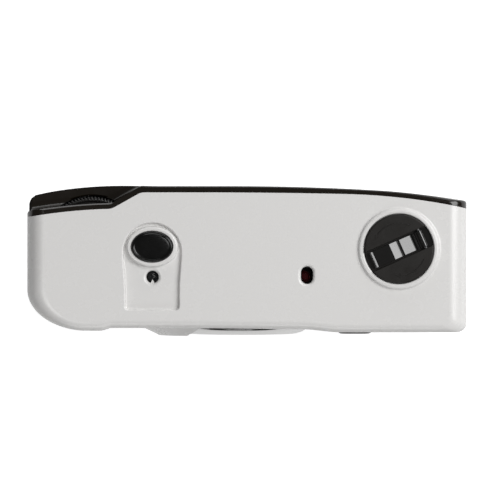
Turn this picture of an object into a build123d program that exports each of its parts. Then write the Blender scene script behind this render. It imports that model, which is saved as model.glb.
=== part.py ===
"""Reusable 35 mm film camera with flash, one solid or group of solids for each physical piece.

X runs along the camera from the shutter button to the rewind knob, Y from the lens to the back, Z up.
The origin is on the base, under the middle of the whole camera. All sizes are in millimetres.
"""

from build123d import *
import math
import os

# Overall body
width = 114.0
depth = 39.0
housing_height = 62.0
wall = 1.5
end_round = 5.0
front_round = 2.2
back_round = 1.2
base_round = 1.6
top_rounds = (front_round, end_round, back_round)
half = width / 2
left = -half
right = half
front_y = -depth / 2
back_y = depth / 2
top_z = housing_height
inner_top = top_z - wall

# Plan of the front: the grip bulge, the flat face beside the lens and the flash end
grip_y = front_y + 1.6
face_y = front_y + 2.3
face_bend_x = -14.0
face_slope = 0.35
flash_y = front_y + 1.2
grip_length = 15.5
grip_depth = 10.6
crease_start = 19.1
crease_end = 22.2
flash_step_start = 14.5
flash_step_end = 24.0
front_corner = 2.3

# Plan of the back: flat in the middle, falling away to the right in two arcs, with a low swell on the left
back_flat_left = -22.0
back_flat_right = -4.0
swell_x = -27.5
swell = 0.12
left_bend_x = -48.8
left_bend_fall = 0.98
right_bend_x = 34.0
right_bend_fall = 1.13
window_fall = 1.52
left_fall = 2.1
right_fall = 3.85
back_corner = 2.4
right_corner = 0.9

# Parting line between the white housing and the black back, seen from above
band_depth = 1.42
parting_mid = back_y - band_depth
parting_left = back_y - 7.75
parting_right = back_y - 5.57
notch_foot_x = -35.3
notch_foot_y = back_y - 5.75
notch_head_x = -27.3
parting_flat_end = -12.0
parting_bend_x = 25.0
parting_bend_fall = 0.4
band = 1.45

# Clearances
fit = 0.1
run = 0.3
touch = 0.02
parting_gap = 0.03

# Film path
film_z = 29.0
film_y = back_y - 6.6
gate_w = 36.0
gate_h = 24.0
spool_y = 3.3
cassette_x = 39.2
cassette_r = 13.0
takeup_x = -40.3
takeup_r = 11.4
sprocket_x = -22.0
sprocket_y = 6.9
sprocket_r = 6.05
web = 1.2
chamber_low = 7.0
plate = 1.5
deck_top = top_z - 11.0
deck_low = deck_top - plate
chassis_back = 3.4
floor_low = chamber_low - plate

# Lens and shutter
lens_x = -1.5
ring_r = 17.75
ring_front_r = 14.9
surround_rims = ((face_y + 0.3, -10.5, 15.8), (front_y - 0.35, -8.9, 13.5))
lens_hole_r = 12.2
lens_r = 5.5
rear_lens_r = 3.6
stop_r = 1.7
blade_pivot = 8.0
shutter_r = 12.0
shutter_front = front_y + 7.0
shutter_back = front_y + 10.7
cone_front = front_y + 11.0

# Thumb shoulder and advance wheel
shoulder_z = deck_top + 3.6
wheel_r = 13.6
wheel_low = deck_top + 1.3
wheel_high = deck_top + 5.3
wheel_teeth = 96
tooth_depth = 0.5

# Shutter button and its sunk panel
button_x = -24.45
button_y = 3.85
button_rx = 5.43
button_ry = 4.1
button_ring_rx = 6.65
button_ring_ry = 5.2
panel_depth = 1.0
panel_z = top_z - panel_depth
panel_half_top = 7.5
panel_half_low = 6.95
panel_back = 9.96
panel_front = -12.5
stem_r = 1.0

# Frame counter
counter_x = -24.4
counter_y = -3.97
counter_r = 1.6
counter_rim_r = 2.25
dial_x = -20.3
dial_y = -6.6
dial_r = 6.2
dial_teeth = 40
finger_r = 6.5

# Flash and its parts
lamp_x = 15.5
lamp_y = -3.5
lamp_hole_w = 3.1
lamp_hole_l = 4.5
lamp_r = 1.5
flash_x = 38.5
flash_w = 20.0
flash_h = 12.5
flash_z = top_z - 10.0
finder_z = flash_z + 2.8
reflector_depth = 4.8
flash_button_x = 28.9
flash_button_z = 31.0
flash_button_w = 8.8
flash_button_h = 6.0
board_y = -13.2
board_t = 1.0

# Rewind
knob_r = 9.15
knob_low = top_z - 0.8
knob_top = top_z + 1.4
ridge_w = 1.75
ridge_r = knob_r + ridge_w
ridge_h = 0.8
well_floor = top_z - 1.1
shaft_r = 2.4
fork_low = 43.5
slot_w = 5.4
arm_w = 4.4
slot_angle = 24.0
slot_floor = top_z - 0.1
crank_top = top_z + 2.0
crank_pivot = 6.4
crank_pivot_z = knob_top - 0.6
crank_pin_r = 0.55
crank_eye_r = 0.78

# Door, hinge and latch
door_low = 0.6
door_top = deck_top - 1.3
door_wall = 1.3
hinge_x = left + 2.1
hinge_y = back_y - 4.6
knuckle_r = 1.2
hinge_pin_r = 0.55
knuckle_bands = ((3.0, 13.0), (37.0, 47.0))
fixed_bands = ((13.3, 20.0), (30.0, 36.7))
door_step = 1.4
latch_z = 29.0

# Battery bay for one AAA cell, 44.5 mm long and 10.5 mm across
bay_half = 23.4
bay_y = -9.1
bay_low = 2.3
bay_high = 13.6
bay_half_y = 5.5
cover_half = 22.6
cover_front = bay_y - 5.2
cover_pivot_y = bay_y + 5.3
cover_pivot_z = 0.95
cover_barrel = 0.9

# Screws and rewind release
screw_places = ((-48.0, -4.0), (-33.0, -7.5), (33.0, -7.5), (48.0, -4.0))
screw_r = 0.95
screw_head_r = 1.8
release_r = 2.0

# Strap bar in the left-hand end
strap_y = -8.0
strap_z = 46.0
strap_h = 11.0
strap_w = 6.0
strap_depth = 3.2
strap_bar_r = 0.8


def block(x0, x1, y0, y1, z0, z1):
    """A box between three pairs of limits."""
    centre = ((x0 + x1) / 2, (y0 + y1) / 2, (z0 + z1) / 2)
    return Pos(*centre) * Box(abs(x1 - x0), abs(y1 - y0), abs(z1 - z0))


def rod_z(x, y, r, z0, z1):
    """An upright cylinder."""
    return Pos(x, y, (z0 + z1) / 2) * Cylinder(r, abs(z1 - z0))


def prism_z(x, y, r, sides, z0, z1):
    """An upright column with flat sides."""
    return Pos(x, y, z0) * extrude(RegularPolygon(r, sides), z1 - z0)


def rod_y(x, z, r, y0, y1):
    """A cylinder that runs from front to back."""
    return Pos(x, (y0 + y1) / 2, z) * Rot(90, 0, 0) * Cylinder(r, abs(y1 - y0))


def rod_x(y, z, r, x0, x1):
    """A cylinder that runs along the camera."""
    return Pos((x0 + x1) / 2, y, z) * Rot(0, 90, 0) * Cylinder(r, abs(x1 - x0))


def oval_z(x, y, rx, ry, z0, z1):
    """An upright elliptical column."""
    return Pos(x, y, z0) * extrude(Ellipse(rx, ry), z1 - z0)


def oblong_z(x, y, w, length, z0, z1):
    """An upright column with round ends, longer along Y."""
    return Pos(x, y, z0) * extrude(SlotOverall(length, w, rotation=90), z1 - z0)


def turned_y(x, z, points):
    """A piece turned about a front-to-back axis, from (radius, y) points."""
    profile = make_face(Polyline(*[(r, y) for r, y in points], close=True))
    return Pos(x, 0, z) * revolve(profile, Axis.Y)


def turned_z(x, y, points):
    """A piece turned about an upright axis, from (radius, z) points."""
    profile = make_face(Plane.XZ * Polyline(*[(r, z) for r, z in points], close=True))
    return Pos(x, y, 0) * revolve(profile, Axis.Z)


def only(shape, region):
    """What two shapes share."""
    return shape & region


def outline(front_in=0.0, end_in=0.0, back_in=0.0, plain=False):
    """Plan of the whole body, drawn in by a distance at the front, the ends and the back.

    The plain form, for the inside, has straight lines in place of the small curves.
    """

    def bend(start, finish, tangents):
        return Line(start, finish) if plain else Spline(start, finish, tangents=tangents)

    x_left = left + end_in
    x_right = right - end_in
    y_grip = grip_y + front_in
    y_face = face_y + front_in
    y_flash = flash_y + front_in
    y_back = back_y - back_in
    grip_x = left + grip_length
    grip_corner_y = grip_y + grip_depth
    y_left_back = y_back - left_fall
    y_right_back = y_back - right_fall
    right_turn = (x_right - right_corner, y_right_back)
    left_turn = (x_left + back_corner, y_left_back)
    with BuildSketch() as sketch:
        with BuildLine():
            grip = EllipticalCenterArc(
                (grip_x, grip_corner_y), grip_x - x_left, grip_corner_y - y_grip, start_angle=180, arc_size=90
            )
            to_crease = Line(grip @ 1, (left + crease_start, y_grip))
            crease = bend(to_crease @ 1, (left + crease_end, y_face), ((1, 0), (1, 0)))
            face = Line(crease @ 1, (face_bend_x, y_face))
            beside = Line(face @ 1, (flash_step_start, y_face - face_slope))
            step = bend(beside @ 1, (flash_step_end, y_flash), ((1, 0), (1, 0)))
            flash_side = Line(step @ 1, (x_right - front_corner, y_flash))
            corner = RadiusArc(flash_side @ 1, (x_right, y_flash + front_corner), -front_corner)
            end = Line(corner @ 1, (x_right, y_right_back - right_corner))
            bend(end @ 1, right_turn, ((0, 1), (-1, 0.11)))
            slow = TangentArc((back_flat_right, y_back), (right_bend_x, y_back - right_bend_fall), tangent=(1, 0))
            TangentArc(slow @ 1, right_turn, tangent=slow % 1)
            Line((back_flat_right, y_back), (back_flat_left, y_back))
            rise = TangentArc((back_flat_left, y_back), (swell_x, y_back + swell), tangent=(-1, 0))
            fall = TangentArc(rise @ 1, (left_bend_x, y_back - left_bend_fall), tangent=rise % 1)
            TangentArc(fall @ 1, left_turn, tangent=fall % 1)
            round_off = bend(left_turn, (x_left, y_left_back - back_corner), ((-1, -0.15), (0, -1)))
            Line(round_off @ 1, grip @ 0)
        make_face()
    return sketch.sketch


def quarter(radius, fraction):
    """How far a round edge has drawn in at a fraction of its height, nought at its foot."""
    rise = min(max(fraction, 0.0), 1.0)
    return radius * (1 - math.sqrt(max(0.0, 1 - rise * rise)))


def body_form(z_low, z_high, rounds=top_rounds, base=base_round, steps=4):
    """The body between two levels: its plan with the top edges rounded and the base edge bevelled."""
    front_r, end_r, back_r = rounds
    tallest = max(front_r, end_r, back_r)
    crown = []
    for step in range(steps):
        level = z_high - tallest + tallest * math.sin(math.radians(90 * step / (steps - 1)))
        insets = [quarter(radius, (level - z_high + radius) / radius) for radius in rounds]
        crown.append(Pos(0, 0, level) * outline(*insets))
    shape = Pos(0, 0, z_low + base) * extrude(outline(), z_high - tallest - z_low - base)
    if base:
        draw_in = base * 0.7
        foot = Pos(0, 0, z_low) * outline(draw_in, draw_in, min(draw_in, 0.3))
        shape += loft([foot, Pos(0, 0, z_low + base) * outline()], ruled=True)
    return shape + loft(crown)


def hollow_form(z_low, z_high, back_in=0.0, inset=wall):
    """The inside of the body between two levels, with bevelled upper ends that follow the round outside."""
    shape = Pos(0, 0, z_low) * extrude(outline(inset, inset, back_in, plain=True), z_high - z_low)
    bevel = end_round * 0.64
    low = min(z_low, 0) - 1
    ends = make_face(
        Plane.XZ
        * Polyline(
            (left + inset, low),
            (left + inset, z_high - bevel),
            (left + inset + bevel, z_high),
            (right - inset - bevel, z_high),
            (right - inset, z_high - bevel),
            (right - inset, low),
            close=True,
        )
    )
    return only(shape, extrude(ends, depth, both=True))


def parting_plan(shift=0.0, notch=True):
    """Plan of all that lies in front of the parting line, moved back by a distance.

    Above the shoulder the line steps forward to make the thumb notch.
    """
    far = half + 20
    with BuildSketch() as sketch:
        with BuildLine():
            foot = (notch_foot_x, notch_foot_y + shift)
            head = (notch_head_x, parting_mid + shift)
            flat_end = (parting_flat_end, parting_mid + shift)
            bend = (parting_bend_x, parting_mid - parting_bend_fall + shift)
            end = (left + wall, parting_left + shift)
            middle = ((left + notch_foot_x) / 2, (parting_left + notch_foot_y) / 2 + 0.35 + shift)
            Line((-far, parting_left + shift), end)
            if notch:
                ThreePointArc(end, middle, foot)
                Line(foot, head)
            else:
                TangentArc(head, end, tangent=(-1, 0))
            Line(head, flat_end)
            slow = TangentArc(flat_end, bend, tangent=(1, 0))
            TangentArc(slow @ 1, (right, parting_right + shift), tangent=slow % 1)
            Line((right, parting_right + shift), (far, parting_right + shift))
            Polyline((far, parting_right + shift), (far, -far), (-far, -far), (-far, parting_left + shift))
        make_face()
    return sketch.sketch


def ahead_of_parting(z0, z1, shift=0.0, notch=True):
    """The parting plan as a block between two levels."""
    return Pos(0, 0, z0) * extrude(parting_plan(shift, notch), z1 - z0)


def front_opening(x, z, w, h, r, y0, y1):
    """A rounded rectangular hole through the front wall."""
    plane = Plane(origin=(x, y0, z), x_dir=(1, 0, 0), z_dir=(0, 1, 0))
    return extrude(plane * RectangleRounded(w, h, r), y1 - y0)


def panel(z0, z1, grow=0.0):
    """The sunk panel round the shutter button: a round back end that narrows towards the front."""
    half_top = panel_half_top + grow
    half_low = panel_half_low + grow
    with BuildSketch(Plane.XY.offset(z0)) as sketch:
        with BuildLine():
            shoulder = (half_top, button_y - 1.0)
            ThreePointArc((-shoulder[0], shoulder[1]), (0, panel_back + grow), shoulder)
            Line(shoulder, (half_low, -7.0))
            Line((half_low, -7.0), (half_low, panel_front + 1.0))
            RadiusArc((half_low, panel_front + 1.0), (half_low - 1.0, panel_front - grow), 1.0 + grow)
            Line((half_low - 1.0, panel_front - grow), (1.0 - half_low, panel_front - grow))
            RadiusArc((1.0 - half_low, panel_front - grow), (-half_low, panel_front + 1.0), 1.0 + grow)
            Line((-half_low, panel_front + 1.0), (-half_low, -7.0))
            Line((-half_low, -7.0), (-shoulder[0], shoulder[1]))
        make_face()
    return Pos(button_x, 0, 0) * extrude(sketch.sketch, z1 - z0)


def front_shell():
    """White housing: front, top, ends and base in one moulding, open at the back."""
    shape = body_form(0, top_z)
    shape -= hollow_form(wall, inner_top, back_in=-3.0)
    shape = only(shape, ahead_of_parting(-1, deck_top, notch=False) + ahead_of_parting(deck_top, top_z + 1))

    # Lens surround: a bulge beside the ring, cut by the ring's round recess
    rims = []
    for y, x, r in surround_rims:
        rims.append(Plane(origin=(x, y, film_z), x_dir=(1, 0, 0), z_dir=(0, 1, 0)) * Circle(r))
    shape += loft(rims, ruled=True)
    shape -= rod_y(lens_x, film_z, ring_r + fit, front_y - 2, face_y)
    shape -= rod_y(lens_x, film_z, lens_hole_r, front_y - 1, face_y + wall + 1)

    # Well and ridge for the rewind knob
    shape += rod_z(cassette_x, spool_y, ridge_r, well_floor - 1.4, top_z - 0.2)
    shape += turned_z(
        cassette_x,
        spool_y,
        (
            (knob_r, top_z - 0.5),
            (ridge_r, top_z - 0.3),
            (ridge_r - 0.3, top_z + 0.35),
            (ridge_r - 0.75, top_z + ridge_h),
            (knob_r + 0.5, top_z + ridge_h),
            (knob_r + fit, top_z + 0.45),
        ),
    )
    shape -= rod_z(cassette_x, spool_y, knob_r + fit, well_floor, top_z + 3)
    shape -= rod_z(cassette_x, spool_y, shaft_r + run, 50, top_z)

    # Sunk panel, button ring and frame counter window
    shape += panel(panel_z - wall, inner_top + 0.1, 1.2)
    shape -= panel(panel_z, top_z + 1)
    shape += oval_z(button_x, button_y, button_ring_rx, button_ring_ry, panel_z - 0.5, top_z + 0.25)
    shape -= oval_z(button_x, button_y, button_rx + fit, button_ry + fit, panel_z - wall - 1, top_z + 1)
    shape -= rod_z(counter_x, counter_y, counter_r, panel_z - wall - 1, top_z + 1)
    rim = counter_rim_r - counter_r
    shape -= Pos(counter_x, counter_y, panel_z - rim / 2) * Cone(counter_r, counter_rim_r, rim + touch)
    shape += Pos(counter_x, counter_y, panel_z - wall) * extrude(
        make_face(Polyline((-0.6, -1.75), (0.6, -1.75), (0, -0.65), close=True)), wall - rim
    )

    # Ready lamp window, flash, viewfinder and flash button openings
    shape -= oblong_z(lamp_x, lamp_y, lamp_hole_w, lamp_hole_l, inner_top - 1, top_z + 1)
    shape -= front_opening(flash_x, flash_z, flash_w, flash_h, 1.2, front_y - 1, flash_y + wall + 1)
    shape -= front_opening(lens_x, finder_z, 17.0, 9.4, 1.2, front_y - 1, face_y + wall + 1)
    button = SlotOverall(flash_button_w + 2 * fit, flash_button_h + 2 * fit)
    plane = Plane(origin=(flash_button_x, front_y - 1, flash_button_z), x_dir=(1, 0, 0), z_dir=(0, 1, 0))
    shape -= extrude(plane * button, 6)

    # Base: battery opening, pivot bosses, screws, rewind release
    bay_back = cover_pivot_y + cover_barrel + run
    shape -= block(-cover_half - run, cover_half + run, cover_front - run, bay_back, -1, 3)
    for side in (-1, 1):
        inner = side * (cover_half + run)
        outer = side * (cover_half + run + 2.2)
        shape += block(inner, outer, cover_pivot_y - 1.2, cover_pivot_y + 1.2, 0.4, 1.95)
    shape -= rod_x(cover_pivot_y, cover_pivot_z, 0.55, -cover_half - 1.6, cover_half + 1.6)
    for x, y in screw_places:
        shape -= prism_z(x, y, screw_r + fit, 6, -1, 3)
        shape -= prism_z(x, y, screw_head_r + fit, 8, -1, 0.9)
    shape += prism_z(sprocket_x, sprocket_y, release_r + 1.6, 8, wall - 0.2, wall + 0.5)
    shape -= rod_z(sprocket_x, sprocket_y, release_r + fit, -1, 3)

    # Strap recess and latch slot in the left-hand end
    shape += block(
        right - strap_depth - 1, right - 0.4, strap_y - strap_w / 2 - 1, strap_y + strap_w / 2 + 1,
        strap_z - strap_h / 2 - 1, strap_z + strap_h / 2 + 1,
    )
    shape -= block(
        right - strap_depth, right + 1, strap_y - strap_w / 2, strap_y + strap_w / 2,
        strap_z - strap_h / 2, strap_z + strap_h / 2,
    )
    bar_half = strap_h / 2 + 0.8
    shape -= prism_z(right - 1.2, strap_y, strap_bar_r + touch, 10, strap_z - bar_half, strap_z + bar_half)
    shape -= block(right - wall - 1.0, right + 1, 6.6, 11.4, latch_z - 8.0, latch_z + 5.0)
    return shape


def rear_frame():
    """Black rear frame: the band above the door, the thumb shoulder and the post with the fixed knuckles."""
    low = door_top + run
    behind = block(-half - 1, half + 1, -2, back_y + 1, low, top_z + 1)
    behind -= ahead_of_parting(low - 1, top_z + 2, parting_gap)
    shape = body_form(low, top_z, base=0)
    shape -= hollow_form(low - 5, inner_top, wall)
    shape = only(shape, behind)

    # Ledge under the housing's top edge
    ledge_in = band_depth - 0.25
    ledge = Pos(0, 0, inner_top - 1.25) * extrude(outline(wall + run, wall + run, ledge_in), 1.2)
    ledge = only(ledge, block(-24, half, film_y, back_y, inner_top - 2, inner_top + 1))
    ledge -= rod_z(cassette_x, spool_y, ridge_r + run, 0, top_z)
    ledge = only(ledge, hollow_form(0, inner_top - 0.05, ledge_in, inset=wall + run))
    shape += ledge - block(lens_x - 8, lens_x + 8, 0, back_y - wall, 0, top_z)

    # Thumb notch over the shoulder
    notch = block(left - 2, notch_head_x - 0.6, 0, back_y + 2, low - 1, top_z + 1)
    notch -= ahead_of_parting(low - 2, top_z + 2, band)
    shape -= notch
    strip = body_form(shoulder_z - 1, top_z, base=0) - ahead_of_parting(0, top_z + 1, parting_gap)
    strip = only(strip, ahead_of_parting(shoulder_z - 1, top_z + 1, band))
    shape += only(strip, block(left - 1, notch_head_x + 2, 0, back_y, shoulder_z - 1, top_z + 1))
    shoulder = body_form(low, shoulder_z, rounds=(0.5, 1.5, 3.0), base=0, steps=3)
    shoulder -= block(left - 1, left + door_step, parting_left + band, back_y + 1, low - 1, top_z)
    shoulder -= block(notch_head_x, half + 1, -half, back_y + 1, low - 1, top_z + 1)
    shoulder -= ahead_of_parting(low - 1, top_z + 1, parting_gap)
    shoulder -= hollow_form(low - 9, shoulder_z - 1.4, wall + 0.6)
    shape += shoulder
    shape -= block(left - 1, left + door_step, parting_left + band, back_y + 1, low - 1, top_z + 1)
    shape -= rod_z(takeup_x, spool_y, wheel_r + run, wheel_low - 0.4, wheel_high + 0.4)

    # Floor that joins the frame to the chassis deck
    foot = only(
        Pos(0, 0, deck_top + touch) * extrude(outline(wall + run, wall + run, 1.0), 0.8),
        block(left, notch_head_x, film_y - 1, back_y, deck_top, deck_top + 2),
    )
    shape += foot - rod_z(takeup_x, spool_y, wheel_r + run, wheel_low - 0.4, wheel_high + 3)

    shape -= block(left + wall, right - wall, -half, film_y, 0, deck_top + touch)

    # Left post under the frame, with the fixed hinge knuckles
    arm_end = hinge_y - knuckle_r - 1.0
    post = block(left, left + wall, parting_left + parting_gap, arm_end, 1.0, low + 0.5)
    for z0, z1 in fixed_bands:
        post += rod_z(hinge_x, hinge_y, knuckle_r, z0, z1)
        post += block(hinge_x - 0.45, hinge_x + 0.7, parting_left + 0.4, hinge_y, z0, z1)
        post += block(left + 0.4, hinge_x + 0.7, parting_left + 0.4, arm_end, z0, z1)
    shape += post
    shape -= rod_z(hinge_x, hinge_y, hinge_pin_r + touch, 0, low)

    # Eyepiece hole
    shape -= front_opening(lens_x, finder_z, 9.0, 6.2, 0.8, film_y, back_y + 1)
    return shape


def back_door():
    """Black back door: a curved plate with side returns, ribs and its hinge knuckles."""
    shape = body_form(door_low, door_top, rounds=(0.4, 0.4, 0.4), base=0.4, steps=2)
    shape -= Pos(0, 0, -5) * extrude(outline(door_wall, door_wall, door_wall, plain=True), top_z)
    shape -= ahead_of_parting(-1, top_z, run, notch=False)
    shape -= block(left - 1, left + door_step, -half, back_y + 1, -1, top_z)
    shape -= block(left - 1, hinge_x + 2, -half, hinge_y, -1, top_z)

    # Light-tight ribs that stand behind the chassis plates
    for z0 in (2.2, door_top - 2.4):
        rib = Pos(0, 0, z0) * extrude(outline(wall + 2, wall + 3, door_wall - 0.2), 1.2)
        shape += only(rib, block(left + 6, right - 4, back_y - 4.6, back_y, 0, top_z))
    for x in (-24.5, 22.5):
        shape += block(x, x + 1.2, back_y - 2.6, back_y - door_wall + 0.1, 3.4, door_top - 2.4)

    # Hinge knuckles and the window over the cassette
    for z0, z1 in knuckle_bands:
        shape += rod_z(hinge_x, hinge_y, knuckle_r, z0, z1)
        shape += block(hinge_x - 0.6, hinge_x + 1.2, hinge_y, back_y - left_fall - 0.8, z0, z1)
    for z0, z1 in fixed_bands:
        shape -= rod_z(hinge_x, hinge_y, knuckle_r + run, z0 - run, z1 + run)
    shape -= rod_z(hinge_x, hinge_y, hinge_pin_r + 0.05, 0, top_z)
    shape -= front_opening(cassette_x, film_z, 6.0, 20.0, 1.0, film_y + 1, back_y + 1)

    # Catch that the latch holds
    catch_back = back_y - right_fall - 0.6
    shape += block(right - 4.6, right - 3.2, film_y - 1.6, catch_back, latch_z - 3, latch_z + 3)
    return shape


def door_window():
    """Clear window in the door, with a flange behind the plate."""
    y_mid = back_y - window_fall
    shape = front_opening(cassette_x, film_z, 6.0 - fit, 20.0 - fit, 0.9, y_mid - 1.5, y_mid - 0.35)
    shape += block(cassette_x - 4, cassette_x + 4, y_mid - 2.6, y_mid - 1.75, film_z - 11, film_z + 11)
    return shape + block(cassette_x - 2.3, cassette_x + 2.3, y_mid - 1.9, y_mid - 1.4, film_z - 9, film_z + 9)


def pressure_plate():
    """Plate that holds the film flat over the gate, with turned-up ends."""
    y0 = film_y + 0.35
    shape = block(lens_x - 21, lens_x + 21, y0, y0 + 0.8, film_z - 16, film_z + 16)
    for side in (-1, 1):
        edge = lens_x + side * 21
        shape += block(edge - side * 0.8, edge, y0, y0 + 1.8, film_z - 15, film_z + 15)
    shape -= block(sprocket_x - 4, sprocket_x + 4, y0 - 1, y0 + 3, film_z + 13.6, film_z + 20)
    return shape


def pressure_spring():
    """Bowed leaf spring between the door and the pressure plate."""
    y_plate = film_y + 1.15
    y_door = back_y - door_wall
    with BuildLine() as line:
        ThreePointArc((-14.5, y_plate + 0.25), (0, y_door - 0.2), (14.5, y_plate + 0.25))
    ribbon = offset(line.line, 0.15)
    return Pos(lens_x, 0, film_z - 4) * extrude(make_face(ribbon), 8)


def hinge_pin():
    return rod_z(hinge_x, hinge_y, hinge_pin_r, 3.1, 46.9)


def light_seals():
    """Foam strips on the chassis plates, behind the film chambers."""
    strip = extrude(outline(wall + 3, wall + 5, chassis_back - 0.45), 0.9) - extrude(
        outline(wall, wall, chassis_back - 0.08), 0.9
    )
    strip = only(strip, block(left + 7, right - 8, film_y, back_y, 0, top_z))
    return Pos(0, 0, floor_low + 0.3) * strip + Pos(0, 0, deck_low + 0.3) * strip


def chassis():
    """Black film chassis: two film chambers, gate, lens cone, battery bay and the top deck."""
    shape = rod_z(cassette_x, spool_y, cassette_r + web, floor_low, deck_top)
    shape += rod_z(takeup_x, spool_y, takeup_r + web, floor_low, deck_top)
    shape += block(takeup_x, cassette_x, film_y - web, film_y, floor_low, deck_top)

    # Top deck and base plate
    for z0, front in ((deck_low, -9.0), (floor_low, -2.0)):
        shape += block(left, right, front, back_y, z0, z0 + plate)

    # Lens cone from the gate to the shutter
    shape += cone(gate_w + 2 * web, gate_h + 2 * web, 13 + 2 * web, 11 + 2 * web)

    # Chambers, open to the back, and the gate
    for x, r in ((cassette_x, cassette_r), (takeup_x, takeup_r)):
        shape -= rod_z(x, spool_y, r, chamber_low, deck_low)
        shape -= block(x - r, x + r, film_y - 3, back_y, chamber_low, deck_low)
    shape -= block(left, right, film_y, back_y, chamber_low, deck_low)
    shape -= cone(gate_w, gate_h, 13, 11)
    shape -= block(lens_x - 6.5, lens_x + 6.5, cone_front - 1, cone_front + 0.2, film_z - 5.5, film_z + 5.5)

    # Film rails beside the gate
    for side in (-1, 1):
        z_rail = film_z + side * (gate_h / 2 + 1.6)
        shape += block(lens_x - 22, lens_x + 20, film_y - 0.1, film_y + 0.2, z_rail - 0.5, z_rail + 0.5)

    # Battery bay
    bay_end = bay_half + web
    bay_front = bay_y - bay_half_y
    bay_back = bay_y + bay_half_y
    shape += block(-bay_end, bay_end, bay_front - 0.6, bay_back + web, wall + run, bay_high + web)
    shape += block(-12, 12, bay_back, 2.0, floor_low, chamber_low)
    shape -= block(-bay_half, bay_half, bay_front, bay_back, 0, bay_high)
    shape -= block(-bay_end - 1, bay_end + 1, cover_pivot_y - 1.6, cover_pivot_y + 1.6, 0, 2.3)

    # Inside the housing, clear of the strap recess
    shape = only(shape, extrude(outline(wall + run, wall + run, chassis_back, plain=True), top_z))
    shape -= block(right - strap_depth - 1 - run, right, -half, strap_y + strap_w / 2 + 1 + run, 0, top_z)

    # Screw bosses, board ribs, flash and lamp supports
    for x, y in screw_places:
        shape += prism_z(x, y, 2.4, 6, wall + touch, floor_low + 0.5)
        shape -= prism_z(x, y, screw_r - 0.03, 6, 0, floor_low)
    for x in (34.0, 43.0):
        shape += block(x, x + 1.2, board_y + board_t, spool_y - cassette_r + 0.4, 8, 44)
    shape += prism_z(lamp_x - 0.5, lamp_y - 0.4, 2.3, 8, deck_top - 0.2, top_z - 6.4)
    shape -= prism_z(lamp_x - 0.5, lamp_y - 0.4, 1.25, 8, deck_top + 1, top_z - 6)

    # Dial post, button guide and bearing holes
    shape += rod_z(dial_x, dial_y, 1.1, deck_top - 0.2, deck_top + 7.0)
    guide_top = deck_top + 3.5
    guide_left = button_x - 1.75
    guide_front = dial_y + dial_r - 1.2
    shape += block(guide_left, button_x + 4.2, guide_front, button_y + 1.8, guide_top - 0.9, guide_top)
    shape += block(guide_left, button_x - 0.6, -1.6, 0.4, deck_top - 0.2, guide_top)
    shape -= rod_z(button_x, button_y, stem_r + 0.12, deck_top + 2, deck_top + 4)
    shape -= rod_z(dial_x, dial_y, dial_r + run, deck_top + 0.05, deck_top + 2.0) - rod_z(
        dial_x, dial_y, 1.1, deck_top - 1, deck_top + 3
    )
    shape -= rod_z(cassette_x, spool_y, shaft_r + run, deck_low - 1, deck_top + 1)
    shape -= rod_z(cassette_x, spool_y, 4.2, floor_low - 1, chamber_low + 1)
    shape -= rod_z(takeup_x, spool_y, 2.6, deck_low - 1, deck_top + 1)
    shape -= rod_z(takeup_x, spool_y, 2.1, floor_low - 1, chamber_low + 1)
    shape -= rod_z(sprocket_x, sprocket_y, 1.3, floor_low - 1, deck_top + 1)
    shape -= rod_z(sprocket_x, sprocket_y, sprocket_r + 1.1, film_z + 14.2, film_z + 17.4)
    return shape


def cone(back_w, back_h, front_w, front_h):
    """Tapered four-sided form from the film gate to the shutter."""
    faces = []
    for y, w, h in ((film_y, back_w, back_h), (cone_front, front_w, front_h)):
        faces.append(Plane(origin=(lens_x, y, film_z), x_dir=(1, 0, 0), z_dir=(0, -1, 0)) * Rectangle(w, h))
    return loft(faces, ruled=True)


def shutter_housing():
    """Cup that carries the shutter blade and the rear lens."""
    shape = rod_y(lens_x, film_z, shutter_r, shutter_front, shutter_back)
    shape -= rod_y(lens_x, film_z, shutter_r - 1.1, shutter_front - 1, shutter_back - 1.3)
    shape += rod_y(lens_x, film_z, rear_lens_r + 1.0, shutter_back - 0.5, shutter_back + 2.6)
    shape -= rod_y(lens_x, film_z, rear_lens_r + touch, shutter_back + 0.5, shutter_back + 3)
    shape -= rod_y(lens_x, film_z, stop_r, shutter_front, shutter_back + 3)
    shape += rod_y(lens_x, film_z + blade_pivot, 0.7, shutter_front + 0.3, shutter_back - 1)
    return shape


def shutter_blade():
    """Thin blade on a pivot above the stop, with an arm that the release kicks."""
    y0 = shutter_back - 2.1
    y1 = y0 + 0.35
    shape = rod_y(lens_x, film_z, stop_r + 1.0, y0, y1)
    shape += rod_y(lens_x, film_z + blade_pivot, 1.7, y0, y1)
    shape += block(lens_x - 1.1, lens_x + 1.1, y0, y1, film_z, film_z + blade_pivot)
    return shape - rod_y(lens_x, film_z + blade_pivot, 0.78, y0 - 1, y1 + 1)


def lens_holder():
    """Black barrel in front of the shutter, with stepped rings round the front lens."""
    y0 = shutter_front
    return turned_y(
        lens_x,
        film_z,
        (
            (lens_r + 0.05, y0 - touch),
            (shutter_r, y0 - touch),
            (shutter_r, y0 - 2.9),
            (11.2, y0 - 2.9),
            (9.6, y0 - 3.1),
            (9.6, y0 - 2.4),
            (6.9, y0 - 1.7),
            (6.9, y0 - 2.5),
            (lens_r + 0.05, y0 - 2.5),
        ),
    )


def bulged_lens(x, z, r, y_front, thickness, front_bulge, back_bulge):
    """Round glass with a curved face on both sides, its front at y_front."""
    y_back = y_front + thickness
    with BuildSketch() as sketch:
        with BuildLine():
            TangentArc((0, y_front - front_bulge), (r, y_front), tangent=(1, 0))
            Line((r, y_front), (r, y_back))
            TangentArc((0, y_back + back_bulge), (r, y_back), tangent=(1, 0))
            Line((0, y_back + back_bulge), (0, y_front - front_bulge))
        make_face()
    return Pos(x, 0, z) * revolve(sketch.sketch, Axis.Y)


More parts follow.
